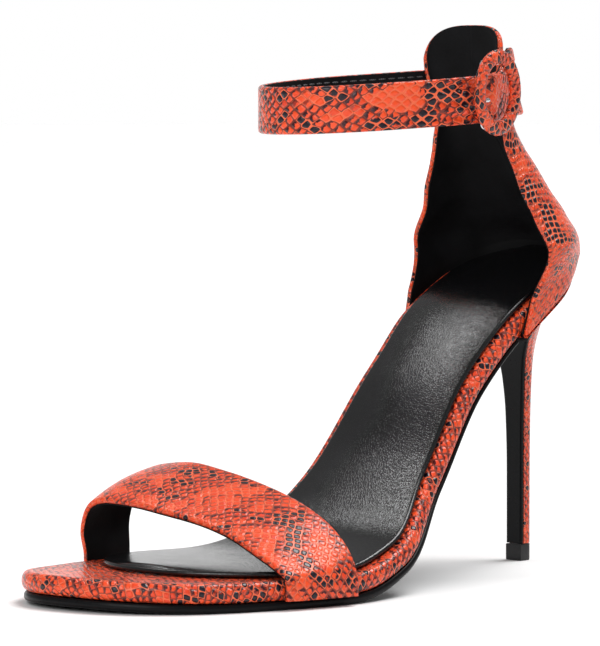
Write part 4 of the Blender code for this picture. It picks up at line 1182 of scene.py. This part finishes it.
def buckle_metal(colours):
    """Polished nickel plated zinc: bright, with faint rubbed marks that spread its lights."""
    mat, tree = new_material("nickel_plated_zinc")
    place = add_node(tree, "TexCoord").outputs["Object"]
    rub = add_node(tree, "TexNoise", place, inputs={"Scale": 2.2 / MM, "Detail": 2.0})
    weather(tree, rub, 0.16, 0.30, colours["nickel"], relief=rub, depth=0.05, strength=0.1)
    fill(tree, metallic=1.0)
    return mat


def stitch_thread(colours):
    """Twisted polyester thread: dark grey strands that wind round each other and catch fine lights."""
    mat, tree = new_material("twisted_polyester_thread")
    place = add_node(tree, "TexCoord").outputs["Object"]
    strands = add_node(tree, "TexWave", place, inputs={"Scale": 0.7 / MM, "Distortion": 1.5},
                       bands_direction="DIAGONAL")
    tint = add_node(tree, "Mix", strands, inputs={6: colours["nap"], 7: colours["thread"]}, data_type="RGBA")
    bump = add_node(tree, "Bump", inputs={"Strength": 0.5, "Distance": 0.1 * MM, "Height": strands})
    fill(tree, base_color=tint, normal=bump, ior=1.55, roughness=0.5)
    return mat


def stage_paper(colours):
    """Matt white background paper: soft, even and almost free of shine."""
    mat, tree = new_material("white_background_paper")
    place = add_node(tree, "TexCoord").outputs["Object"]
    fibre = add_node(tree, "TexNoise", place, inputs={"Scale": 0.06 / MM, "Detail": 3.0})
    weather(tree, fibre, 0.85, 0.95, colours["paper"])
    fill(tree, ior=1.4, specular_ior_level=0.2)
    return mat


COLOURS = {
    "orange": ("Scale", "Bright body of a scale", "F65224"),
    "red": ("Deep scale", "Body of the deeper scales", "E24022"),
    "coral": ("Groove", "Light lines between the scales", "F46A42"),
    # maroon paints the dark ends of the scales and the dark grooves: print, with painted shade
    "maroon": ("Crescent", "Dark end of a scale", "3A0B14"),
    "plum": ("Dark scale", "Scales of the dark patches", "170B18"),
    "lining": ("Lining", "Microfibre lining", "050506"),
    "nap": ("Nap", "Raised fibres and dust on the black parts", "111113"),
    "insole": ("Insole", "Padded insole leather", "0D0D0E"),
    "sole": ("Outsole", "Outsole and heel cover", "101011"),
    "rubber": ("Top piece", "Rubber under the heel", "2C2B2D"),
    "nickel": ("Buckle metal", "Plated bar and prong", "D5D6D8"),
    "thread": ("Thread", "Stitches of the lining", "5C5B5E"),
    "paper": ("Floor", "Background paper", "F4F4F4"),
}


class SandalColours(bpy.types.PropertyGroup):
    """Colours of the leathers, metal, thread and floor."""
    __annotations__ = {
        key: bpy.props.FloatVectorProperty(name=name, description=text, subtype="COLOR", size=4,
                                           min=0.0, max=1.0, default=linear(code))
        for key, (name, text, code) in COLOURS.items()}


def length_size(name, description, default):
    """A length that a user can change: its default is given in millimetres."""
    return bpy.props.FloatProperty(name=name, description=description, default=default * MM, min=0.0,
                                   max=20 * MM, unit="LENGTH")


class SandalSizes(bpy.types.PropertyGroup):
    """Sizes of the details that the solids leave out."""
    edge_margin: length_size("Edge margin", "From a strap's edge to its lining", 0.5)
    lining_height: length_size("Lining height", "How far a lining stands over the turned edge", 0.25)
    pad_crown: length_size("Pad crown", "Rise of the insole's middle over its edge", 1.0)
    gather_depth: length_size("Gather depth", "Depth of the pleats where the strap enters the buckle", 1.2)
    strap_bulge: length_size("Strap bulge", "How far the strap rises inside the buckle", 1.3)
    stitch_length: length_size("Stitch length", "Length of one stitch", 2.3)
    stitch_gap: length_size("Stitch gap", "Space between two stitches", 0.8)
    thread_radius: length_size("Thread radius", "Half the thickness of the thread", 0.26)
    ring_pleat: length_size("Ring pleat", "Depth of the pleats on the covered buckle", 0.09)


def size_of(name):
    """One of the user's sizes in millimetres."""
    return getattr(bpy.context.scene.sandal_sizes, name) / MM


def colours_of():
    """The user's colours by name."""
    chosen = bpy.context.scene.sandal_colours
    return {key: tuple(getattr(chosen, key)) for key in COLOURS}


MATERIALS = {}


def finish_of(kind, *name):
    """A material of this file by its function, made once and then shared."""
    key = (kind.__name__, *name)
    if key not in MATERIALS:
        MATERIALS[key] = kind(*name, colours_of())
    return MATERIALS[key]


class SANDAL_OT_footbed(bpy.types.Operator):
    """Outsole, wrapped board and padded insole"""
    bl_idname = "sandal.footbed"
    bl_label = "Footbed"

    def execute(self, context):
        share = even_shares(0.0, 1.0, BOARD_STATIONS)
        thickness = np.full(BOARD_STATIONS, BOARD_THICKNESS)
        board = plate(*flat_edges(share), 0.0, thickness, BOARD_ROUNDING, turns=15, columns=40)
        new_piece("board_cover", board, finish_of(snake_leather, "board"), ["wrapped_board"],
                  BOARD_MARKS)
        breast = share_under(FOOT_BACK - SEAT_FRONT - GAP, BOARD_THICKNESS + GAP + SOLE_THICKNESS / 2)
        share = even_shares(breast, 1.0, SOLE_STATIONS)
        thin = 1 - smooth_step((share - SOLE_THIN_END) / SOLE_THIN_RUN)
        thickness = SOLE_THICKNESS * (1 - SOLE_THINNING * thin)
        sole = plate(*flat_edges(share, SOLE_INSET), BOARD_THICKNESS + GAP, thickness, SOLE_ROUNDING)
        new_piece("outsole_leather", sole, finish_of(outsole_leather), ["outsole"])
        pad = new_piece("insole_pad", insole_shell(), finish_of(insole_leather), ["insole"])
        return {"FINISHED"}


def insole_shell():
    """Insole: the footbed's edges moved inward and closed by superellipses, with a crowned face.

    The crown is a height times one less a power of the place across, and it fades to nothing
    at both ends, so that the pad's edge rolls down all round.
    """
    end = 1 - INSOLE_TOE_MARGIN / FOOT_LENGTH
    turn = np.linspace(END_TURN, math.pi - END_TURN, PAD_STATIONS)
    share = INSOLE_BACK + (end - INSOLE_BACK) * (1 - np.cos(turn)) / 2
    lateral, medial = half_widths(share)
    back = np.clip((INSOLE_ROUND_BACK - share) / (INSOLE_ROUND_BACK - INSOLE_BACK), 0.0, 1.0)
    front = np.clip((share - INSOLE_ROUND_START) / (end - INSOLE_ROUND_START), 0.0, 1.0)
    closing = (1 - front ** FRONT_POWER) ** (1 / FRONT_POWER) * (1 - back ** BACK_POWER) ** (1 / BACK_POWER)
    middle = (lateral - medial) / 2
    inset = INSOLE_INSET + INSOLE_FORE_INSET * smooth_step((share - INSET_START) / INSET_RUN)
    half = ((lateral + medial) / 2 - inset) * closing
    length = np.interp(share, PROFILE_SHARES, PROFILE_LENGTH)
    bare = INNER_RIM * closing * smooth_step((INNER_RIM_END - share) / INNER_RIM_RUN)
    edges = np.stack([middle + half, length], -1), np.stack([middle - half + bare, length], -1)
    rise = size_of("pad_crown")

    def crown(along, across):
        """Height of the pad over its edge at shares along and across it."""
        ends = smooth_step(along / CROWN_ENDS) * smooth_step((1 - along) / CROWN_ENDS)
        return rise * ends * (1 - np.abs(2 * across - 1) ** CROWN_POWER)

    thickness = np.full(PAD_STATIONS, INSOLE_THICKNESS)
    return plate(*edges, -GAP - INSOLE_THICKNESS, thickness, INSOLE_THICKNESS / 2, turns=11, columns=48,
                 crown=crown)


def lined_wall(name, surface, slot_nodes, look, marks, round_rows, ends, groove=None):
    """A strap or wall in two pieces: leather turned round its edges, and a lining let into its back.

    The surface is a function of a distance inward that gives a grid. The turned edge is as wide
    as the edge margin, and the lining stands over it by the lining height.
    """
    half = WALL / 2
    margin = size_of("edge_margin")
    high = size_of("lining_height")
    first, last = (half * flag for flag in round_rows)
    outer = trimmed(surface(0.0), first, last, half, half)
    inner = trimmed(surface(SKIN_BACK), first, last, half, half)
    new_piece(name + "_skin", rolled_wall(outer, inner, skin_of(outer), round_rows),
              finish_of(snake_leather, look), slot_nodes, marks)
    cut = [margin if flag else LINING_END for flag in ends]
    face = trimmed(surface(LINING_FRONT), *cut, margin, margin)
    back = trimmed(surface(SKIN_BACK + high), *cut, margin, margin)
    if groove is not None:
        back = back + grid_normals(back) * groove(back)[..., None]
    new_piece(name + "_lining", rolled_wall(face, back, skin_of(back)), finish_of(lining_leather))


class SANDAL_OT_toe_strap(bpy.types.Operator):
    """Strap over the toes with its lining"""
    bl_idname = "sandal.toe_strap"
    bl_label = "Toe strap"

    def execute(self, context):
        lined_wall("toe_strap", lambda inward: toe_strap_surface(*TOE_STRAP_GRID, inward), ["toe_strap"],
                   "toe_strap", TOE_MARKS, (False, False), (False, False))
        return {"FINISHED"}


def counter_seam(back):
    """Depth of the seam pressed into the counter's lining, up its middle."""
    across = np.linspace(-1.0, 1.0, back.shape[1]) * LINING_HALF
    return np.broadcast_to(LINING_SEAM * hump(across / LINING_SEAM_REACH), back.shape[:2])


class SANDAL_OT_counter(bpy.types.Operator):
    """Heel counter that rises to a tab, with its lining"""
    bl_idname = "sandal.counter"
    bl_label = "Heel counter"

    def execute(self, context):
        lined_wall("heel_counter", lambda inward: counter_surface(*COUNTER_GRID, inward), ["heel_counter"],
                   "counter", COUNTER_MARKS, (False, True), (False, True), counter_seam)
        return {"FINISHED"}


def heel_grid(levels, back_points, front_points, offset, cover):
    """Rings of the heel: shares of the way from the tip's outline to the seat's, on the last's slope."""
    turns = np.linspace(-1.0, 1.0, back_points)
    seat_x, seat_y = seat_outline(turns * math.radians(SEAT_TURN), offset, BOARD_THICKNESS + GAP)
    tip = tip_outline(turns, front_points, cover)
    seat = flat_front(seat_x, seat_y, FOOT_BACK - SEAT_FRONT, front_points)
    backward = np.append((1 + np.cos(turns * math.pi)) / 2, np.zeros(front_points))
    ups = column(HEEL_ROWS, "up")
    side, front, back = (smooth_curve(ups, column(HEEL_ROWS, name), levels)[:, None]
                         for name in ("side", "front", "back"))
    x = tip[:, 0] + side * (seat[:, 0] - tip[:, 0])
    y = tip[:, 1] + (back * backward + front * (1 - backward)) * (seat[:, 1] - tip[:, 1])
    base = TIP_HEIGHT + GAP
    z = base + levels[:, None] * (under_last(y, BOARD_THICKNESS + GAP) - base)
    return np.stack([x, y, z], -1)


def flat_front(x, y, front, points):
    """Outline whose two ends are carried to a flat front, with points along it."""
    y = y.copy()
    y[[0, -1]] = front
    across = np.linspace(x[-1], x[0], points + 2)[1:-1]
    return np.stack([np.concatenate([x, across]), np.append(y, np.full(points, front))], -1)


def tip_outline(turns, front_points, cover):
    """Outline of the heel's tip: half an ellipse at the back and a flat front behind a cover."""
    half = TIP_WIDTH / 2
    x = half * np.sin(turns * math.pi / 2)
    y = TIP_DEPTH / 2 - half + half * np.cos(turns * math.pi / 2)
    return flat_front(x, y, cover - TIP_DEPTH / 2, front_points)


class SANDAL_OT_heel(bpy.types.Operator):
    """Covered heel, the black cover of its front and its rubber top piece"""
    bl_idname = "sandal.heel"
    bl_label = "Heel"

    def execute(self, context):
        levels = np.linspace(0.0, 1.0, HEEL_LEVELS) ** HEEL_LEVEL_POWER
        back_points = HEEL_POINTS[0]
        rings = heel_grid(levels, *HEEL_POINTS, COUNTER_OFFSET - WALL * HEEL_UNDER_COUNTER,
                          GAP + BREAST_THICKNESS)
        around = arc_lengths(rings, 1)
        around = around - around[:, [back_points // 2]]
        skin = np.stack([around, rings[..., 2]], -1)
        middle = rings[-1].mean(axis=0)
        inner = []
        for shrink in SEAT_RINGS:
            ring = middle + (rings[-1] - middle) * shrink
            ring[:, 2] = under_last(ring[:, 1], BOARD_THICKNESS + GAP)
            inner.append(ring)
        rings_all = np.concatenate([rings, np.array(inner)])
        skins = np.concatenate([skin, skin[-1:], skin[-1:]])
        new_piece("heel_skin", closed_loft(rings_all, skins), finish_of(snake_leather, "heel"),
                  ["heel"], sharp=40.0)
        round_points, flat_points = TIP_POINTS
        tip = tip_outline(np.linspace(-1.0, 1.0, round_points), flat_points, 0.0)
        top_piece = np.array([np.column_stack([tip * step.size, np.full(len(tip), step.up)])
                              for step in TIP_STEPS])
        new_piece("top_piece", closed_loft(top_piece, top_piece[..., :2]), finish_of(heel_rubber),
                  ["heel_tip"], sharp=35.0)
        right = rings[:, back_points - 1]
        left = rings[:, 0]
        front = (right + left) / 2
        width = (right[:, 0] - left[:, 0]) / 2
        along = unit(np.gradient(front, axis=0)[:, 1:])
        normal = np.stack([-along[:, 1], along[:, 0]], -1)
        share = np.linspace(-1.0, 1.0, BREAST_COLUMNS)
        faces = []
        for distance in (GAP + BREAST_THICKNESS, BREAST_CONTACT):
            x = front[:, :1] + share * (width - GAP - BREAST_MARGIN)[:, None]
            y = np.broadcast_to((front[:, 1] + normal[:, 0] * distance)[:, None], x.shape)
            z = np.broadcast_to((front[:, 2] + normal[:, 1] * distance)[:, None], x.shape)
            faces.append(np.stack([x, y, z], -1))
        new_piece("heel_breast_cover", rolled_wall(*faces, skin_of(faces[0]), (False, False)),
                  finish_of(outsole_leather), ["heel_breast"])
        return {"FINISHED"}


def strap_grid(first, last, rows, columns, lift, out):
    """Grid of the ankle loop between two angles: rows go round, columns go up, at a distance outward."""
    angle, across = np.meshgrid(np.linspace(first, last, rows), np.linspace(0.0, 1.0, columns), indexing="ij")
    tail = smooth_step((angle - TAIL_START) / (360 + TAIL_ANGLE - TAIL_START))
    place = 1 - (1 - across) * (1 - TAIL_NARROW * tail)
    surface = loop_point(angle, place, lift(angle, across) + out)
    surface[..., 2] += TAIL_LIFT * tail
    return surface


def buckled_lift(angle, across):
    """Lift of the long strap: its lap, its rise inside the buckle and the pleats before it.

    The rise is a hump along and across. The pleats are a cosine across the strap, which grows
    toward the buckle's front edge and then fades under it.
    """
    middle = 360.0 + BUCKLE_ANGLE
    rise = hump((angle - middle) / BULGE_TURN) * hump((across - BULGE_MIDDLE) / BULGE_HALF)
    pleats = np.cos(across * 2 * math.pi * PLEAT_COUNT + PLEAT_PHASE + PLEAT_TWIST * (angle - middle))
    window = smooth_step((angle - (middle - PLEAT_START)) / PLEAT_GROWTH)
    window = window * smooth_step((middle - PLEAT_END - angle) / PLEAT_FADE)
    gathers = size_of("gather_depth") * 0.5 * window * (pleats - PLEAT_SINK)
    return strap_lift(angle) + size_of("strap_bulge") * rise + gathers


class SANDAL_OT_ankle_strap(bpy.types.Operator):
    """Long strap round the ankle and the short one that holds the buckle"""
    bl_idname = "sandal.ankle_strap"
    bl_label = "Ankle strap"

    def execute(self, context):
        lined_wall("ankle_strap",
                   lambda inward: strap_grid(90 + SEAM, 360 + TAIL_ANGLE, *LONG_GRID, buckled_lift, -inward),
                   ["ankle_strap"], "ankle_strap", STRAP_MARKS, (False, True), (False, True))
        start = BUCKLE_ANGLE + math.degrees((BAR_RADIUS + GAP) / ANKLE_FORE) + BAR_CLEARANCE
        lined_wall("buckle_strap",
                   lambda inward: strap_grid(start, 90 - SEAM, *SHORT_GRID, no_lift, -inward),
                   ["buckle_strap"], "ankle_strap", (), (True, False), (True, False))
        return {"FINISHED"}


def no_lift(angle, across):
    """Lift of the short strap, which lies on the loop itself."""
    return 0.0 * angle


class SANDAL_OT_stitches(bpy.types.Operator):
    """Stitches that hold the linings of the ankle strap"""
    bl_idname = "sandal.stitches"
    bl_label = "Stitches"

    def execute(self, context):
        inward = SKIN_BACK + size_of("lining_height") + STITCH_LIFT
        rows, columns = STITCH_GRID
        grid = strap_grid(90 + SEAM + STITCH_START, TAIL_START, rows, columns, buckled_lift, -inward)
        normals = grid_normals(grid)
        lines = []
        for share in STITCH_ROWS:
            k = int(round(share * (columns - 1)))
            lines.append(dashes(grid[:, k], -normals[:, k], size_of("stitch_length"), size_of("stitch_gap"),
                                size_of("thread_radius")))
        new_piece("ankle_strap_stitches", joined(*lines), finish_of(stitch_thread))
        return {"FINISHED"}


def buckle_frame():
    """Middle of the buckle and its three directions: forward along the strap, up and outward."""
    angle = np.array(360.0 + BUCKLE_ANGLE)
    low, middle, high = (loop_point(angle, np.array(share), np.array(0.0)) for share in (0.0, 0.5, 1.0))
    up = high - low
    out = loop_point(angle, np.array(0.5), np.array(1.0)) - middle
    ahead = unit(np.cross(out, up))
    up = unit(up)
    return middle, ahead, up, np.cross(up, ahead)


class SANDAL_OT_buckle(bpy.types.Operator):
    """Covered ring, its plated bar and the prong"""
    bl_idname = "sandal.buckle"
    bl_label = "Buckle"

    def execute(self, context):
        middle, ahead, up, out = buckle_frame()
        face = float(strap_lift(360.0 + BUCKLE_ANGLE))
        ring_back = face + RING_CLEARANCE
        centre = middle + out * (ring_back + RING_THICKNESS / 2) + up * RING_RAISE
        turns, sides = RING_GRID
        turn = np.arange(turns)[:, None] * 2 * math.pi / turns
        section = np.arange(sides) * 2 * math.pi / sides - math.pi / 2
        wide = (RING_WIDTH - RING_BAND) / 2
        tall = (RING_HEIGHT - RING_BAND) / 2
        flank = np.abs(np.cos(section)) ** RING_FLANK
        waves = sum(wave.high * np.cos(wave.count * turn + wave.wander * np.sin(wave.slow * turn))
                    for wave in RING_WAVES)
        pleat = size_of("ring_pleat") * flank * (waves - 1.0)
        across = (RING_BAND / 2) * np.sign(np.cos(section)) * np.abs(np.cos(section)) ** RING_FULLNESS
        across = across + pleat * np.sign(np.cos(section))
        proud = (RING_THICKNESS / 2) * np.sin(section) + 0 * turn
        radial = np.cos(turn)[..., None] * ahead + np.sin(turn)[..., None] * up
        way = np.cos(turn)[..., None] * ahead * wide + np.sin(turn)[..., None] * up * tall
        points = centre + way + radial * across[..., None] + out * proud[..., None]
        quads = grid_quads(turns + 1, sides, closed=True) % (turns * sides)
        round_ring = math.pi * (wide + tall)
        round_band = math.pi * (RING_BAND + RING_THICKNESS) / 2
        skin = np.stack(np.broadcast_arrays(turn / (2 * math.pi) * round_ring,
                                            np.arange(sides) / sides * round_band), -1)
        ring = Shell(points.reshape(-1, 3), quads, NO_TRIANGLES, skin.reshape(-1, 2))
        new_piece("buckle_ring_cover", ring, finish_of(snake_leather, "ring"), ["buckle_ring"],
                  wrap=(round_ring, round_band), sharp=70.0)
        bar_out = face - WALL - GAP - BAR_RADIUS
        high = (RING_HEIGHT - RING_BAND) / 2 + RING_RAISE - BAR_INSET
        low = (RING_BAND - RING_HEIGHT) / 2 + RING_RAISE + GAP
        anchor = ring_back + BAR_RADIUS + GAP
        bar = [middle + up * place + out * level
               for place, level in ((high, anchor), (high, bar_out), (low, bar_out), (low, anchor))]
        bar_rod = rod(rounded_path(bar, BAR_BEND), BAR_RADIUS)
        new_piece("buckle_bar", bar_rod, finish_of(buckle_metal))
        hole = middle + ahead * PRONG_STEP
        prong = [middle + ahead * (BAR_RADIUS + GAP) + out * bar_out, hole + out * bar_out,
                 hole + out * (face + PRONG_LEVEL), hole + out * (face + PRONG_LEVEL) + ahead * PRONG_REACH]
        prong_rod = rod(rounded_path(prong, PRONG_BEND), PRONG_RADIUS)
        new_piece("prong", prong_rod, finish_of(buckle_metal), ["buckle_prong"])
        return {"FINISHED"}


def rounded_path(corners, reach):
    """Path through corners that are rounded by parabolas of a reach, with even steps between."""
    corners = [np.asarray(corner, float) for corner in corners]
    share = np.linspace(0.0, 1.0, BEND_POINTS)[:, None]
    parts = [corners[0][None]]
    for before, corner, after in zip(corners, corners[1:], corners[2:]):
        start = corner + unit(before - corner) * reach
        end = corner + unit(after - corner) * reach
        parts.append(start * (1 - share) ** 2 + 2 * corner * share * (1 - share) + end * share ** 2)
    parts.append(corners[-1][None])
    return np.concatenate(parts)


CAMERA_PLACE = (1.6434, -1.7171, 0.2785)
CAMERA_BACK = (0.6898, -0.7193, 0.0819)
CAMERA_LENS = 430.8
CAMERA_SENSOR = 36.0
# the photo is 646 px high and the shoe isn't quite in its middle
CAMERA_SHIFT = (-15.9 / 646, -7.2 / 646)
CAMERA_REACH = 20.0
FLOOR_RADIUS = 2.5
FLOOR_SIDES = 64
ROOM_LIGHT = 0.30        # what the white room adds from all sides
BACKDROP_LIGHT = 1.0     # how bright its wall looks behind the shoe

SUN_POWER = 2.8
SUN_TOWARD = (0.10, 0.42, 0.93)
SUN_SPREAD = math.radians(36.0)

LAMPS = table(
    "name place aim wide high power",
    ("left_strip", (-0.89, -0.01, 1.27), (0.01, 0.05, 0.07), 0.50, 0.13, 2.0),
    ("front_softbox", (0.5, -1.7, 0.9), (0.0, 0.0, 0.08), 1.2, 1.0, 16.0),
    ("back_softbox", (-1.5, 1.6, 0.35), (0.0, 0.0, 0.05), 2.0, 0.7, 3.5),
)


def placed(data, place, backward):
    """Object of a light or camera at a place in metres, which looks away from a direction."""
    item = bpy.data.objects.new(data.name, data)
    item.location = place
    item.rotation_euler = Vector(backward).to_track_quat("Z", "Y").to_euler()
    bpy.context.scene.collection.objects.link(item)
    return item


class SANDAL_OT_stage(bpy.types.Operator):
    """Pale floor, softboxes and the camera"""
    bl_idname = "sandal.stage"
    bl_label = "Stage"

    def execute(self, context):
        scene = context.scene
        turn = np.linspace(0.0, 2 * math.pi, FLOOR_SIDES + 1)[:-1]
        rim = np.stack([np.cos(turn), np.sin(turn), 0 * turn], -1) * FLOOR_RADIUS
        mesh = bpy.data.meshes.new("floor")
        mesh.from_pydata(rim, [], [list(range(FLOOR_SIDES))])
        mesh.materials.append(finish_of(stage_paper))
        floor = bpy.data.objects.new("floor", mesh)
        scene.collection.objects.link(floor)
        for lamp in LAMPS:
            light = bpy.data.lights.new(lamp.name, "AREA")
            light.shape = "RECTANGLE"
            light.size, light.size_y, light.energy = lamp.wide, lamp.high, lamp.power
            placed(light, lamp.place, Vector(lamp.place) - Vector(lamp.aim))
        sun = bpy.data.lights.new("overhead_light", "SUN")
        sun.energy, sun.angle = SUN_POWER, SUN_SPREAD
        placed(sun, (0.0, 0.0, 0.0), SUN_TOWARD)
        world = bpy.data.worlds.new("studio")
        world.use_nodes = True
        tree = world.node_tree
        seen = add_node(tree, "LightPath").outputs["Is Camera Ray"]
        bright = add_node(tree, "MapRange", seen, inputs={3: ROOM_LIGHT, 4: BACKDROP_LIGHT})
        backdrop = tree.nodes["Background"]
        backdrop.inputs["Color"].default_value = (1.0, 1.0, 1.0, 1.0)
        put(tree, backdrop.inputs["Strength"], bright)
        scene.world = world
        scene.view_settings.view_transform = "Standard"
        data = bpy.data.cameras.new("photo_camera")
        data.lens, data.sensor_width = CAMERA_LENS, CAMERA_SENSOR
        data.shift_x, data.shift_y = CAMERA_SHIFT
        data.clip_end = CAMERA_REACH
        scene.camera = placed(data, CAMERA_PLACE, CAMERA_BACK)
        return {"FINISHED"}


PIECES = (SANDAL_OT_footbed, SANDAL_OT_toe_strap, SANDAL_OT_counter, SANDAL_OT_heel, SANDAL_OT_ankle_strap,
          SANDAL_OT_stitches, SANDAL_OT_buckle, SANDAL_OT_stage)


class SANDAL_PT_panel(bpy.types.Panel):
    """Sizes, colours and one button for each group of pieces"""
    bl_idname = "SANDAL_PT_panel"
    bl_label = "Ankle strap sandal"
    bl_space_type = "VIEW_3D"
    bl_region_type = "UI"
    bl_category = "Sandal"

    def draw(self, context):
        layout = self.layout
        for group in (context.scene.sandal_sizes, context.scene.sandal_colours):
            box = layout.box()
            for name in type(group).__annotations__:
                box.prop(group, name)
        for piece in PIECES:
            layout.operator(piece.bl_idname)


CLASSES = (SandalColours, SandalSizes, *PIECES, SANDAL_PT_panel)


def register():
    """Registers the classes and adds the two groups of settings to the scene."""
    for item in CLASSES:
        bpy.utils.register_class(item)
    bpy.types.Scene.sandal_colours = bpy.props.PointerProperty(type=SandalColours)
    bpy.types.Scene.sandal_sizes = bpy.props.PointerProperty(type=SandalSizes)


def unregister():
    """Takes the groups and the classes away again."""
    del bpy.types.Scene.sandal_sizes
    del bpy.types.Scene.sandal_colours
    for item in reversed(CLASSES):
        bpy.utils.unregister_class(item)


def main():
    register()
    bpy.ops.sandal.footbed()
    bpy.ops.sandal.toe_strap()
    bpy.ops.sandal.counter()
    bpy.ops.sandal.heel()
    bpy.ops.sandal.ankle_strap()
    bpy.ops.sandal.stitches()
    bpy.ops.sandal.buckle()
    bpy.ops.sandal.stage()


if __name__ == "__main__":
    main()
